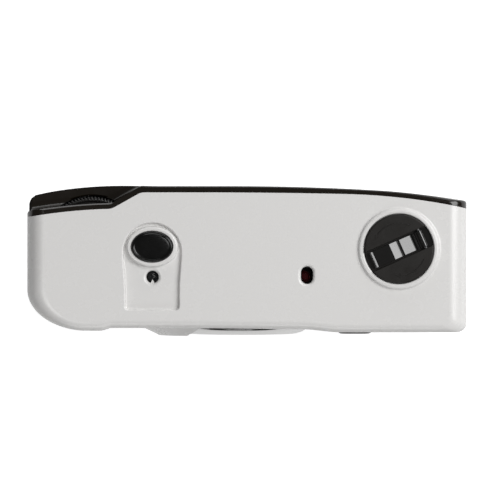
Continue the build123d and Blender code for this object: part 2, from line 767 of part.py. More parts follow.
def lens_ring():
    """Bright conical ring round the lens, dished inwards to the barrel."""
    return turned_y(
        lens_x,
        film_z,
        (
            (ring_r, face_y - touch),
            (ring_r, front_y + 1.5),
            (ring_front_r, front_y + 0.2),
            (ring_front_r - 0.7, front_y + 0.05),
            (11.3, face_y + 0.6),
            (11.3, face_y + 1.0),
            (12.1, face_y + 1.0),
            (12.1, face_y - touch),
        ),
    )


def viewfinder_bezel():
    """Black frame of the viewfinder's front window."""
    shape = front_opening(lens_x, finder_z, 16.8, 9.2, 1.1, face_y - 0.45, face_y + 1.3)
    return shape - block(lens_x - 6.3, lens_x + 6.3, front_y - 1, face_y + 3, finder_z - 3.3, finder_z + 3.3)


def viewfinder_front_lens():
    """Front glass of the viewfinder, hollowed behind."""
    shape = block(lens_x - 7.2, lens_x + 7.2, face_y + 1.32, face_y + 3.2, finder_z - 4.1, finder_z + 4.1)
    hollow = Pos(lens_x, face_y + 3.2 + 38.8, finder_z) * Sphere(40)
    return shape - hollow


def viewfinder_tunnel():
    """Black tube between the two glasses."""
    y0 = face_y + 3.25
    y1 = back_y - wall - 1.7
    z0 = deck_top + touch
    z1 = finder_z + 4.6
    shape = block(lens_x - 7.2, lens_x + 7.2, y0, y1, z0, z1)
    faces = []
    for y, w, h in ((y0 - 0.01, 12.8, 6.8), (y1 + 0.01, 8.0, 5.4)):
        plane = Plane(origin=(lens_x, y, finder_z), x_dir=(1, 0, 0), z_dir=(0, 1, 0))
        faces.append(plane * Rectangle(w, h))
    return shape - loft(faces, ruled=True)


def viewfinder_eyepiece():
    """Rear glass, let into the rear frame, with a flange inside."""
    shape = front_opening(lens_x, finder_z, 9.0 - fit, 6.2 - fit, 0.75, back_y - wall - touch, back_y - 0.6)
    y1 = back_y - wall - touch
    return shape + block(lens_x - 5.5, lens_x + 5.5, y1 - 1.18, y1, finder_z - 3.9, finder_z + 3.9)


def flash_window():
    """Ribbed clear cover of the flash, with a flange inside the wall."""
    wide = flash_w / 2 + 0.8
    tall = flash_h / 2 + 0.8
    y0 = flash_y + wall + touch
    shape = front_opening(flash_x, flash_z, flash_w - fit, flash_h - fit, 1.1, flash_y - 0.25, y0 + 0.28)
    shape += block(flash_x - wide, flash_x + wide, y0, y0 + 0.58, flash_z - tall, flash_z + tall)
    for index in range(9):
        x = flash_x + (index - 4) * 2.0
        shape -= block(x - 0.35, x + 0.35, flash_y - 1, flash_y - 0.05, flash_z - 5.4, flash_z + 5.4)
    return shape


def flash_reflector():
    """Bright trough behind the flash tube, closed at both ends."""
    y_front = flash_y + wall + 0.62
    y_back = y_front + reflector_depth
    half_w = flash_w / 2 - 0.6

    def trough(shrink):
        mouth = flash_h / 2 - 0.3 - shrink
        with BuildSketch(Plane.YZ) as sketch:
            with BuildLine():
                lower = (y_front - 0.01, flash_z - mouth)
                upper = (y_front - 0.01, flash_z + mouth)
                ThreePointArc(lower, (y_back - shrink, flash_z), upper)
                Line(upper, lower)
            make_face()
        return Pos(flash_x, 0, 0) * extrude(sketch.sketch, half_w - shrink, both=True)

    shape = trough(0) - trough(0.6)
    y_tube = y_front + reflector_depth / 2
    return shape - rod_x(y_tube, flash_z, 1.35, flash_x - half_w - 1, flash_x + half_w + 1)


def flash_tube():
    y_front = flash_y + wall + 0.62
    half_w = flash_w / 2 + 0.6
    return rod_x(y_front + reflector_depth / 2, flash_z, 1.3, flash_x - half_w, flash_x + half_w)


def flash_board():
    """Circuit board in front of the cassette chamber, with the switch dome and two chips."""
    shape = block(25.5, 47.0, board_y, board_y + board_t, 4.0, 44.4)
    shape += rod_y(flash_button_x, flash_button_z, 2.2, board_y - 0.5, board_y + 0.01)
    shape += block(33.0, 37.5, board_y - 1.3, board_y + 0.01, 34.0, 38.0)
    shape += block(38.0, 44.0, board_y - 1.8, board_y + 0.01, 10.0, 14.0)
    return shape


def flash_capacitor():
    """Capacitor between the lens cone and the cassette chamber, with its rolled rim."""
    shape = rod_z(20.2, -4.5, 5.7, chamber_low + 8.6, 45.0)
    return shape - (rod_z(20.2, -4.5, 6, 43.6, 44.1) - rod_z(20.2, -4.5, 5.3, 43, 45))


def flash_transformer():
    """Small transformer in the corner: ferrite block with its winding."""
    shape = block(48.6, 54.4, -15.6, -9.6, 20.0, 22.0)
    shape += block(48.6, 54.4, -15.6, -9.6, 27.0, 29.0)
    return shape + rod_z(51.5, -12.6, 2.6, 21.5, 27.5) + block(47.0 + touch, 48.7, -13.4, -12.0, 20.4, 28.6)


def ready_lamp():
    """Red lamp in its post, with a round top."""
    dome = inner_top - 0.8
    return turned_z(
        lamp_x - 0.5,
        lamp_y - 0.4,
        (
            (0, deck_top + 1.2),
            (1.1, deck_top + 1.2),
            (1.1, top_z - 6.38),
            (lamp_r, top_z - 6.38),
            (lamp_r, dome - 0.7),
            (lamp_r * 0.5, dome),
            (0, dome),
        ),
    )


def lamp_window():
    """Clear pane glued under the lamp opening."""
    return oblong_z(lamp_x, lamp_y, lamp_hole_w + 2, lamp_hole_l + 2, inner_top - 0.6, inner_top - touch)


def counter_window():
    """Clear pane glued under the counter opening."""
    z1 = panel_z - wall - touch
    return rod_z(counter_x, counter_y, counter_r + 0.7, z1 - 0.35, z1)


def shutter_button():
    """Oval button, slightly dished, with a flange and a stem."""
    cap_low = panel_z - wall - 0.05
    shape = oval_z(button_x, button_y, button_rx, button_ry, cap_low, top_z + 0.9)
    shape = chamfer(shape.faces().sort_by(Axis.Z)[-1].edges(), 0.3)
    shape -= oval_z(button_x, button_y, button_rx - 0.7, button_ry - 0.7, top_z + 0.7, top_z + 2)
    shape += oval_z(button_x, button_y, button_rx + 0.35, button_ry + 0.3, cap_low - 0.45, cap_low)
    return shape + rod_z(button_x, button_y, stem_r, deck_top + 3.0, cap_low)


def coil(x, y, z0, z1, r, wire, turns):
    """Coil spring: a square wire along a helix, its ends trimmed flat."""
    height = z1 - z0
    path = Helix(height / turns, height, r)
    section = Plane(origin=path @ 0, z_dir=path % 0) * Rectangle(wire, wire)
    spring = sweep(section, path=path)
    gap = height / turns - wire
    print("coil of", turns, "turns, least space between turns", round(gap, 2), "mm")
    trimmed = only(Pos(x, y, z0) * spring, rod_z(x, y, r + 2, z0 + 0.02, z1 - 0.02))
    return trimmed


def button_spring():
    return coil(button_x, button_y, deck_top + 3.5, panel_z - wall - 0.5, 1.5, 0.35, 3)


def release_spring():
    return coil(sprocket_x, sprocket_y, wall + 1.0, floor_low, 1.7, 0.35, 2)


def toothed_disc(r, depth, count, z0, z1):
    """Flat wheel with fine pointed teeth."""
    points = []
    for index in range(2 * count):
        angle = math.pi * index / count
        radius = r if index % 2 == 0 else r - depth
        points.append((radius * math.cos(angle), radius * math.sin(angle)))
    return Pos(0, 0, z0) * extrude(make_face(Polyline(*points, close=True)), z1 - z0)


def advance_wheel():
    """Toothed thumb wheel, hollowed below, with a hub that drives the take-up spool."""
    shape = toothed_disc(wheel_r, tooth_depth, wheel_teeth, wheel_low, wheel_high)
    shape -= rod_z(0, 0, wheel_r - 1.6, wheel_low - 1, wheel_high - 1.4) - rod_z(0, 0, 4.0, 0, top_z)
    return Pos(takeup_x, spool_y, 0) * shape


def takeup_spool():
    """Hollow spool with end flanges, leader slots and a shaft up to the wheel."""
    shape = rod_z(0, 0, 6.2, chamber_low + 1.0, deck_low - 0.8)
    shape += rod_z(0, 0, 7.6, chamber_low + 1.0, chamber_low + 2.0)
    shape += rod_z(0, 0, 7.6, deck_low - 1.8, deck_low - 0.8)
    shape -= rod_z(0, 0, 5.0, chamber_low + 2.0, deck_low - 2.2)
    shape += rod_z(0, 0, 2.4, chamber_low + 1.0, wheel_low - touch)
    shape += rod_z(0, 0, 2.0, floor_low + 0.2, chamber_low + 1.0)
    for turn in range(3):
        shape -= Rot(0, 0, 120 * turn) * block(4.5, 7.0, -0.8, 0.8, film_z - 12, film_z + 12)
    return Pos(takeup_x, spool_y, 0) * shape


def sprocket_shaft():
    """Film sprocket with eight teeth on a long shaft, with the counter's drive finger on top."""
    shape = rod_z(0, 0, 1.2, floor_low + 0.05, deck_top + 1.05)
    shape += rod_z(0, 0, sprocket_r - 0.65, film_z + 14.6, film_z + 17.0)
    tooth = Plane.XZ * make_face(
        Polyline((0, -0.9), (sprocket_r - 0.2, -0.9), (sprocket_r + 0.6, -0.45), (sprocket_r + 0.6, 0.45),
                 (sprocket_r - 0.2, 0.9), (0, 0.9), close=True)
    )
    for index in range(8):
        shape += Rot(0, 0, 45 * index) * Pos(0, 0, film_z + 15.8) * extrude(tooth, 0.6, both=True)
    shape += Rot(0, 0, 75) * block(0, finger_r, -0.6, 0.6, deck_top + 0.25, deck_top + 0.95)
    return Pos(sprocket_x, sprocket_y, 0) * shape


def counter_dial():
    """Numbered dial on a hub, with the ratchet ring that the finger moves on."""
    shape = rod_z(0, 0, dial_r, panel_z - wall - 1.25, panel_z - wall - 0.6)
    shape += rod_z(0, 0, 1.9, deck_top + 0.2, panel_z - wall - 1.0)
    shape += toothed_disc(dial_r, 0.6, dial_teeth, deck_top + 0.25, deck_top + 0.95)
    return Pos(dial_x, dial_y, 0) * (shape - rod_z(0, 0, 1.18, deck_top - 1, deck_top + 7.3))


def wheel_pawl():
    """Springy finger on the deck that keeps the wheel from turning back."""
    shape = rod_z(-24.0, 13.6 - 0.2, 1.3, deck_top + touch, wheel_high - 0.5)
    return shape + block(-28.6, -24.0, 12.9, 13.5, wheel_low + 0.6, wheel_high - 0.8)


def flash_button():
    """Oval button that charges the flash, with a flange inside the wall."""

    def facing(y):
        return Plane(origin=(flash_button_x, y, flash_button_z), x_dir=(1, 0, 0), z_dir=(0, 1, 0))

    shape = extrude(facing(front_y + 0.5) * SlotOverall(flash_button_w, flash_button_h), 3.2)
    shape = chamfer(shape.faces().sort_by(Axis.Y)[0].edges(), 0.3)
    flange = SlotOverall(flash_button_w + 1.2, flash_button_h + 1.8)
    shape += extrude(facing(flash_y + wall + run) * flange, 0.7)
    return shape + rod_y(flash_button_x, flash_button_z, 1.2, flash_y + wall, board_y - 1.6)


def rewind_knob():
    """Round knob with a slot across it for the folded crank."""
    shape = rod_z(0, 0, knob_r, knob_low, knob_top)
    shape = chamfer(shape.edges().group_by(Axis.Z)[-1], 0.25)
    shape -= Rot(0, 0, slot_angle) * block(-12, 12, -slot_w / 2, slot_w / 2, slot_floor, crank_top + 1)
    pin = rod_x(0, crank_pivot_z, crank_pin_r + touch, -slot_w / 2 - 2.0, slot_w / 2 + 2.0)
    shape -= Rot(0, 0, slot_angle) * Pos(crank_pivot, 0, 0) * Rot(0, 0, 90) * pin
    shape -= rod_z(0, 0, shaft_r + touch, knob_low - 1, slot_floor - 0.2)
    return Pos(cassette_x, spool_y, 0) * shape


def crank_pin():
    pin = rod_x(0, crank_pivot_z, crank_pin_r, -slot_w / 2 - 1.9, slot_w / 2 + 1.9)
    return Pos(cassette_x, spool_y, 0) * Rot(0, 0, slot_angle) * Pos(crank_pivot, 0, 0) * Rot(0, 0, 90) * pin


def crank_arm():
    """Folding crank: a bar in the slot, with a finger groove in its middle and ribs near the pivot."""
    low = slot_floor + 0.15
    with BuildSketch(Plane.XZ) as sketch:
        with BuildLine():
            Polyline(
                (crank_pivot, low), (-7.0, low), (-7.5, low + 0.5),
                (-6.65, crank_top - 0.3), (-2.0, crank_top - 0.3), (-0.6, crank_top - 0.55),
                (0.7, crank_top - 1.05), (0.9, crank_top - 0.75), (3.55, crank_top - 0.1),
                (3.75, crank_top - 0.7), (4.1, crank_top - 0.7), (4.3, crank_top - 0.35),
                (4.7, crank_top - 0.35), (4.9, crank_top - 0.75), (crank_pivot, crank_pivot_z + crank_eye_r),
            )
            over = (crank_pivot, crank_pivot_z + crank_eye_r)
            under = (crank_pivot, crank_pivot_z - crank_eye_r)
            ThreePointArc(over, (crank_pivot + crank_eye_r, crank_pivot_z), under)
            Line(under, (crank_pivot, low))
        make_face()
    shape = extrude(sketch.sketch, arm_w / 2, both=True)
    shape -= Pos(crank_pivot, 0, 0) * Rot(0, 0, 90) * rod_x(0, crank_pivot_z, crank_pin_r + 0.04, -5, 5)
    return Pos(cassette_x, spool_y, 0) * Rot(0, 0, slot_angle) * shape


def rewind_shaft():
    """Shaft under the knob, ending in the fork that turns the cassette spool."""
    shape = rod_z(0, 0, shaft_r, fork_low + 4.0, slot_floor - 0.22)
    shape -= rod_z(0, 0, 3.5, deck_top + 0.5, deck_top + 1.4) - rod_z(0, 0, 1.7, 0, top_z)
    for side in (-1, 1):
        shape += block(-0.55, 0.55, side * 0.7, side * 2.1, fork_low, fork_low + 4.5)
    return Pos(cassette_x, spool_y, 0) * shape


def rewind_washer():
    """Retaining clip in the shaft's groove, above the deck."""
    shape = rod_z(0, 0, 4.2, deck_top + 0.55, deck_top + 1.3) - rod_z(0, 0, 1.75, 0, top_z)
    shape -= block(0, 6, -1.2, 1.2, deck_top, deck_top + 2)
    return Pos(cassette_x, spool_y, 0) * shape


def rewind_release():
    """Button in the base that frees the sprocket."""
    shape = rod_z(sprocket_x, sprocket_y, release_r, 0.25, wall + 1.0)
    return shape + rod_z(sprocket_x, sprocket_y, release_r + 0.8, wall + 0.55, wall + 1.0)


def door_latch():
    """Sliding latch in the left-hand end, with a ribbed thumb pad."""
    inner = right - wall - 0.2
    shape = block(inner - 1.0, inner, 5.4, 12.4, latch_z - 6.0, latch_z + 6.0)
    shape += block(inner - 0.1, right - 0.2, 6.9, 11.1, latch_z - 4.6, latch_z + 4.6)
    for index in range(5):
        z = latch_z + (index - 2) * 1.7
        shape -= block(right - 0.55, right + 1, 6.5, 11.5, z - 0.3, z + 0.3)
    return shape


def battery_cover():
    """Base cover of the battery bay, hinged along its rear edge."""
    shape = block(-cover_half, cover_half, cover_front, cover_pivot_y, 0.05, 1.45)
    shape += rod_x(cover_pivot_y, cover_pivot_z, cover_barrel, -cover_half, cover_half)
    shape += rod_x(cover_pivot_y, cover_pivot_z, 0.45, -cover_half - 1.4, cover_half + 1.4)
    for index in range(5):
        x = (index - 2) * 2.2
        shape -= block(x - 0.5, x + 0.5, cover_front + 1.0, cover_front + 4.5, -1, 0.4)
    return shape


def battery_contact_plate():
    """Springy plate that touches the cell's button end."""
    x = bay_half
    shape = block(x - 0.45, x - 0.05, bay_y - 4, bay_y + 4, bay_low + 0.8, bay_high - 0.6)
    bump = rod_x(bay_y, bay_low + 5.4, 1.6, x - 1.0, x - 0.4)
    return shape + bump


def battery_contact_leaf():
    """Bent leaf spring that presses on the cell's flat end, on its plate."""
    x = 0.05 - bay_half
    z_mid = bay_low + 5.4
    shape = block(x, x + 0.35, bay_y - 4, bay_y + 4, bay_low + 0.8, bay_high - 0.6)
    with BuildSketch(Plane.XZ) as sketch:
        with BuildLine():
            outer = Polyline((x + 0.2, z_mid + 4.2), (x + 2.2, z_mid), (x + 0.9, z_mid - 3.2))
            inner = Polyline((x + 0.55, z_mid - 3.2), (x + 1.8, z_mid), (x + 0.2, z_mid + 3.4))
            Line(outer @ 1, inner @ 0)
            Line(inner @ 1, outer @ 0)
        make_face()
    return shape + Pos(0, bay_y, 0) * extrude(sketch.sketch, 2.5, both=True)


def strap_bar():
    bar_half = strap_h / 2 + 0.75
    return prism_z(right - 1.2, strap_y, strap_bar_r, 10, strap_z - bar_half, strap_z + bar_half)


def housing_screws():
    """Four self-tapping screws up through the base."""
    shape = None
    for x, y in screw_places:
        screw = prism_z(x, y, screw_head_r, 8, 0.15, 0.88)
        screw += prism_z(x, y, screw_r - 0.05, 6, 0.8, floor_low - 0.2)
        shape = screw if shape is None else shape + screw
    return shape


pieces = {
    "front_shell": front_shell,
    "rear_frame": rear_frame,
    "chassis": chassis,
    "back_door": back_door,
    "door_window": door_window,
    "pressure_plate": pressure_plate,
    "pressure_spring": pressure_spring,
    "hinge_pin": hinge_pin,
    "door_latch": door_latch,
    "light_seals": light_seals,
    "shutter_button": shutter_button,
    "button_spring": button_spring,
    "advance_wheel": advance_wheel,
    "wheel_pawl": wheel_pawl,
    "takeup_spool": takeup_spool,
    "sprocket_shaft": sprocket_shaft,
    "counter_dial": counter_dial,
    "counter_window": counter_window,
    "shutter_housing": shutter_housing,
    "shutter_blade": shutter_blade,
    "lens_holder": lens_holder,
    "lens_ring": lens_ring,
    "viewfinder_bezel": viewfinder_bezel,
    "viewfinder_front_lens": viewfinder_front_lens,
    "viewfinder_tunnel": viewfinder_tunnel,
    "viewfinder_eyepiece": viewfinder_eyepiece,
    "flash_window": flash_window,
    "flash_reflector": flash_reflector,
    "flash_tube": flash_tube,
    "flash_board": flash_board,
    "flash_capacitor": flash_capacitor,
    "flash_transformer": flash_transformer,
    "flash_button": flash_button,
    "ready_lamp": ready_lamp,
    "lamp_window": lamp_window,
    "rewind_knob": rewind_knob,
    "rewind_shaft": rewind_shaft,
    "rewind_washer": rewind_washer,
    "crank_arm": crank_arm,
    "crank_pin": crank_pin,
    "rewind_release": rewind_release,
    "release_spring": release_spring,
    "battery_cover": battery_cover,
    "battery_contact_plate": battery_contact_plate,
    "battery_contact_leaf": battery_contact_leaf,
    "strap_bar": strap_bar,
    "housing_screws": housing_screws,
}

os.makedirs("parts", exist_ok=True)
for name, make in pieces.items():
    export_step(make(), "parts/" + name + ".step")
export_step(
    bulged_lens(lens_x, film_z, lens_r, shutter_front - 2.0, 1.4, 0.9, 0.2), "parts/lens_front.step"
)
export_step(
    bulged_lens(lens_x, film_z, rear_lens_r, shutter_back + 0.9, 1.0, 0.3, 0.4), "parts/lens_rear.step"
)
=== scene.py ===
import bmesh
import bpy
import math
from mathutils import Matrix, Vector


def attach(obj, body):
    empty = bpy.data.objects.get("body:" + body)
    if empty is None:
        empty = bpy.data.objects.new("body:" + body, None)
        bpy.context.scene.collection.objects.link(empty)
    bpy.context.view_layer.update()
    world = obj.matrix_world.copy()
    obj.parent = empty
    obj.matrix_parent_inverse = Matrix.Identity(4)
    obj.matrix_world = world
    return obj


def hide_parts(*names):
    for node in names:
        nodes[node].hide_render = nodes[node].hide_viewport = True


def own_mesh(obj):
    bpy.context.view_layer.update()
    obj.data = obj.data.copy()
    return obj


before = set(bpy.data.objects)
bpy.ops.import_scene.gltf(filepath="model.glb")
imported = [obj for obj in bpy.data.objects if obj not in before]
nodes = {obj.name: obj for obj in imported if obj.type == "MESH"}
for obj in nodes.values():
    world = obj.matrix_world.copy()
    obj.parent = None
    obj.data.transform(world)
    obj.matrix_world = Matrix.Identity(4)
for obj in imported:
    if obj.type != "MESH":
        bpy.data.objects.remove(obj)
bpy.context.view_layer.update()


# Camera
# The photograph looks straight down on the object's top from about 0.75 m, with its back at the top of the
# picture. The view takes in 129 mm at the height of the housing's top.
scene = bpy.context.scene
scene.view_settings.view_transform = "Standard"
view_x, view_y = 0.0008, 0.0030
view_width = 0.12895
view_distance = 0.75
housing_top = 0.062
optics = bpy.data.cameras.new("camera")
optics.sensor_width = 36
optics.lens = optics.sensor_width / 2 / (view_width / 2 / view_distance)
optics.clip_start = 0.05
optics.clip_end = 20
camera = bpy.data.objects.new("camera", optics)
scene.collection.objects.link(camera)
camera.location = (view_x, view_y, housing_top + view_distance)
scene.camera = camera


# White housing
# Front, top, ends and base are one glossy styrene moulding, open at the back and screwed on from below. The
# sunk panel, the button's rim, the knob's ridge and the lens surround are moulded in, with soft edges.
MM = 0.001
left, right = -57.0, 57.0
front_y, back_y = -19.5, 19.5
top_z = 62.0
wall = 1.5
end_round, front_round, back_round, base_round = 5.0, 2.2, 1.2, 1.6
grip_y, face_y, flash_y = front_y + 1.6, front_y + 2.3, front_y + 1.2
bulge_y = front_y - 0.35
band_depth = 1.65
deck_top = top_z - 11.0
knob_x, axis_y = 39.2, 3.3
button_x, button_y = -24.45, 3.85
counter_x, counter_y, counter_r = -24.4, -3.97, 1.6
lamp_x, lamp_y = 15.5, -3.5
lens_x, film_z = -1.5, 29.0
finder_z, flash_x, flash_z = top_z - 7.2, 38.5, top_z - 10.0
flash_key_x, flash_key_z = 28.9, 31.0
release_x, release_y = -22.0, 6.9
screw_places = ((-48.0, -4.0), (-33.0, -7.5), (33.0, -7.5), (48.0, -4.0))
panel_z = top_z - 1.0


def run(start, end, count):
    """Points along a straight line, without its end."""
    across, along = end[0] - start[0], end[1] - start[1]
    return [(start[0] + across * i / count, start[1] + along * i / count) for i in range(count)]


def sway(start, end, count):
    """Points along a soft step that leaves and arrives level, without its end."""
    across, along = end[0] - start[0], end[1] - start[1]
    line = []
    for i in range(count):
        t = i / count
        line.append((start[0] + across * t, start[1] + along * t * t * (3 - 2 * t)))
    return line


def arc(x, y, rx, ry, first, last, count):
    """Points along part of an ellipse, from one angle in degrees to another, without its end."""
    turns = [math.radians(first + (last - first) * i / count) for i in range(count)]
    return [(x + rx * math.cos(a), y + ry * math.sin(a)) for a in turns]


def corner(start, knee, end, count):
    """Points round a soft corner, without its end."""
    line = []
    for i in range(count):
        t = i / count
        a, b, c = (1 - t) ** 2, 2 * t * (1 - t), t * t
        line.append((a * start[0] + b * knee[0] + c * end[0], a * start[1] + b * knee[1] + c * end[1]))
    return line


def swing(start, heading, end, count):
    """Points along an arc that sets off at a heading, without its end, and the heading where it arrives."""
    chord = math.atan2(end[1] - start[1], end[0] - start[0])
    half_turn = (chord - heading + math.pi) % (2 * math.pi) - math.pi
    radius = math.dist(start, end) / (2 * math.sin(half_turn))
    line = []
    for i in range(count):
        part = half_turn * i / count
        reach = 2 * radius * math.sin(part)
        course = heading + part
        line.append((start[0] + reach * math.cos(course), start[1] + reach * math.sin(course)))
    return line, heading + 2 * half_turn


def fall_away(start, end, count):
    """Points along an arc that starts level at its first point and falls to its last, without its end."""
    across, down = end[0] - start[0], start[1] - end[1]
    radius = (across * across + down * down) / (2 * down)
    turn = math.asin(across / radius)
    angles = [turn * i / count for i in range(count)]
    return [(start[0] + radius * math.sin(a), start[1] - radius * (1 - math.cos(a))) for a in angles]


def plan(front_in=0.0, end_in=0.0, back_in=0.0):
    """The body's outline from above, drawn in at the front, the ends and the back. It starts at the grip."""
    x0, x1 = left + end_in, right - end_in
    grip, face, flash, back = grip_y + front_in, face_y + front_in, flash_y + front_in, back_y - back_in
    grip_x, grip_round, flash_round = left + 15.5, 10.6, 2.3
    step_from, step_to = (left + 19.1, grip), (left + 22.2, face)
    lens_left, lens_right, flash_left = (-14.0, face), (14.5, face - 0.35), (24.0, flash)
    right_back, left_back = back - 3.6, back - 2.1
    right_turn, left_turn = (x1 - 0.9, right_back), (x0 + 2.4, left_back)
    flat_right, flat_left, right_bend = (-4.0, back), (-22.0, back), (34.0, back - 1.13)
    swell, left_bend = (-27.5, back + 0.12), (-48.8, back - 0.98)
    line = arc(grip_x, grip + grip_round, grip_x - x0, grip_round, 180, 270, 26)
    line += run((grip_x, grip), step_from, 2)
    line += sway(step_from, step_to, 9)
    line += run(step_to, lens_left, 6)
    line += run(lens_left, lens_right, 8)
    line += sway(lens_right, flash_left, 12)
    line += run(flash_left, (x1 - flash_round, flash), 8)
    line += arc(x1 - flash_round, flash + flash_round, flash_round, flash_round, -90, 0, 10)
    line += run((x1, flash + flash_round), (x1, right_back - 0.9), 9)
    line += corner((x1, right_back - 0.9), (x1, right_back - 0.1), right_turn, 6)
    slow, heading = swing(flat_right, 0.0, right_bend, 16)
    steep, heading = swing(right_bend, heading, right_turn, 13)
    line += [right_turn] + (slow + steep)[:0:-1]
    line += run(flat_right, flat_left, 5)
    heading = math.pi
    for start, end, count in ((flat_left, swell, 4), (swell, left_bend, 14), (left_bend, left_turn, 6)):
        part, heading = swing(start, heading, end, count)
        line += part
    line += corner(left_turn, (x0 + 0.25, left_back - 0.3), (x0, left_back - 2.4), 9)
    line += run((x0, left_back - 2.4), (x0, grip + grip_round), 9)
    return line


def ring(x, y, rx, ry=None, count=96):
    """A circle or an ellipse about a point."""
    return arc(x, y, rx, ry or rx, 0, 360, count)


def rounded(x, y, w, h, r, count=6):
    """A rounded rectangle about a point."""
    dx, dy = w / 2 - r, h / 2 - r
    line = []
    for cx, cy, turn in ((dx, dy, 0), (-dx, dy, 90), (-dx, -dy, 180), (dx, -dy, 270)):
        line += arc(x + cx, y + cy, r, r, turn, turn + 90 * (count + 1) / count, count + 1)
    return line


def grown(line, by):
    """A closed line moved outwards by a distance."""
    if not by:
        return line
    wider = []
    for i, (x, y) in enumerate(line):
        before, after = line[i - 1], line[(i + 1) % len(line)]
        dx, dy = after[0] - before[0], after[1] - before[1]
        length = math.hypot(dx, dy) or 1.0
        wider.append((x + by * dy / length, y - by * dx / length))
    return wider


def solid(name, rings, lay="up", hollow=False):
    """A closed piece skinned over rings of points, each at its own place along one axis.

    The rings stand one above the other, behind each other or along the length. A hollow one has no end caps.
    """
    places = {
        "up": lambda u, v, h: (u, v, h),
        "deep": lambda u, v, h: (u, h, v),
        "long": lambda u, v, h: (h, u, v),
    }
    mesh = bmesh.new()
    rows = []
    for line, h in rings:
        rows.append([mesh.verts.new([c * MM for c in places[lay](u, v, h)]) for u, v in line])
    pairs = list(zip(rows, rows[1:])) + ([(rows[-1], rows[0])] if hollow else [])
    for low, high in pairs:
        for i in range(len(low)):
            j = (i + 1) % len(low)
            mesh.faces.new((low[i], low[j], high[j], high[i]))
    if not hollow:
        mesh.faces.new(rows[0])
        mesh.faces.new(rows[-1])
    bmesh.ops.recalc_face_normals(mesh, faces=mesh.faces)
    made = bpy.data.meshes.new(name)
    mesh.to_mesh(made)
    mesh.free()
    piece = bpy.data.objects.new(name, made)
    scene.collection.objects.link(piece)
    return piece


def slab(x0, x1, y0, y1, z0, z1):
    """A straight block, as a tool for cutting or joining."""
    return solid("slab", [([(x0, y0), (x1, y0), (x1, y1), (x0, y1)], z) for z in (z0, z1)])


def work(piece, tool, how):
    """Changes a piece with a closed tool, which is used up."""
    step = piece.modifiers.new("step", "BOOLEAN")
    step.object = tool
    step.operation = how
    step.solver = "MANIFOLD"
    bpy.context.view_layer.update()
    fresh = bpy.data.meshes.new_from_object(piece.evaluated_get(bpy.context.evaluated_depsgraph_get()))
    piece.modifiers.clear()
    old = piece.data
    piece.data = fresh
    fresh.name = piece.name
    bpy.data.meshes.remove(old)
    bpy.data.meshes.remove(tool.data)
    return piece


def cut(piece, tool):
    return work(piece, tool, "DIFFERENCE")


def join(piece, tool):
    return work(piece, tool, "UNION")


def keep(piece, tool):
    return work(piece, tool, "INTERSECT")


# A quarter turn in five steps, and how far a cutting tool stands clear of the wall
quarter = [math.radians(turn) for turn in range(0, 91, 18)]
proud = 3


def recess(line, floor, rim, lip=0.3, foot=0.0, lay="up"):
    """A tool for a recess from its floor to its rim, with a soft foot and a lip that opens at the surface."""
    way = 1 if rim > floor else -1
    rings = []
    for turn in quarter if foot else ():
        rings.append((grown(line, -foot * (1 - math.sin(turn))), floor + way * foot * (1 - math.cos(turn))))
    if not foot:
        rings.append((line, floor))
    for turn in quarter if lip else ():
        rings.append((grown(line, lip * (1 - math.cos(turn))), rim - way * lip * (1 - math.sin(turn))))
    rings.append((grown(line, lip), rim + way * proud))
    return solid("recess", rings, lay)


def body(low, high, rounds, base, steps=14):
    """The body between two levels, with its top edges rounded and its base edge eased."""
    tallest = max(rounds)
    rings = []
    for i in range(5) if base else ():
        turn = math.radians(90 * i / 4)
        drawn_in = 0.7 * base * (1 - math.sin(turn))
        rings.append((plan(drawn_in, drawn_in, drawn_in), low + base * (1 - math.cos(turn))))
    if not base:
        rings.append((plan(), low))
    for i in range(steps + 1):
        level = high - tallest + tallest * math.sin(math.radians(90 * i / steps))
        rise = [min(max((level - high + r) / r, 0.0), 1.0) for r in rounds]
        drawn_in = [r * (1 - math.sqrt(max(0.0, 1 - t * t))) for r, t in zip(rounds, rise)]
        rings.append((plan(*drawn_in), level))
    return solid("body", rings)


def inside(low, high, back_in, inset=wall):
    """The hollow of the body, with bevelled upper ends."""
    bevel = end_round * 0.64
    rings = [(plan(inset, inset, back_in), low), (plan(inset, inset, back_in), high - bevel)]
    return solid("inside", rings + [(plan(inset, inset + bevel, back_in), high)])


def parting(shift=0.0, notch=True, far=80.0):
    """All that lies in front of the parting line. The notched line steps forward for the thumb."""
    thumb_shift = min(shift, 1.5)
    mid, low_left, low_right = back_y - band_depth + shift, back_y - 7.82 + thumb_shift, back_y - 5.81 + shift
    start, foot, head = (left + wall, low_left), (-34.8, back_y - 5.84 + thumb_shift), (-27.3, mid)
    line = [(-far, low_left)]
    if notch:
        knee = (-35.7, foot[1] - 0.07), foot, (-34.1, foot[1] + 0.4)
        brow = (-28.1, mid - 0.42), head, (-26.4, mid)
        sag = ((start[0] + foot[0]) / 2, (start[1] + foot[1]) / 2 + 0.7)
        line += corner(start, sag, knee[0], 14)
        line += corner(*knee, 6) + [knee[2]] + corner(*brow, 6) + [brow[2]]
    else:
        fall = fall_away((-head[0], mid), (-start[0], low_left), 16)
        line += [start] + [(-x, y) for x, y in fall[::-1]]
    slow, heading = swing((-12.0, mid), 0.0, (25.0, mid - 0.4), 10)
    steep, heading = swing((25.0, mid - 0.4), heading, (right, low_right), 16)
    line += slow + steep + [(right, low_right), (far, low_right), (far, -far), (-far, -far)]
    return line[::-1]


housing = body(0, top_z, (front_round, end_round, back_round), base_round)
ahead = solid("ahead", [(parting(notch=False), -5), (parting(notch=False), deck_top)])
ahead = join(ahead, solid("ahead", [(parting(), deck_top - 0.001), (parting(), top_z + 5)]))
keep(housing, ahead)
cut(housing, inside(wall, top_z - wall, -3.0))

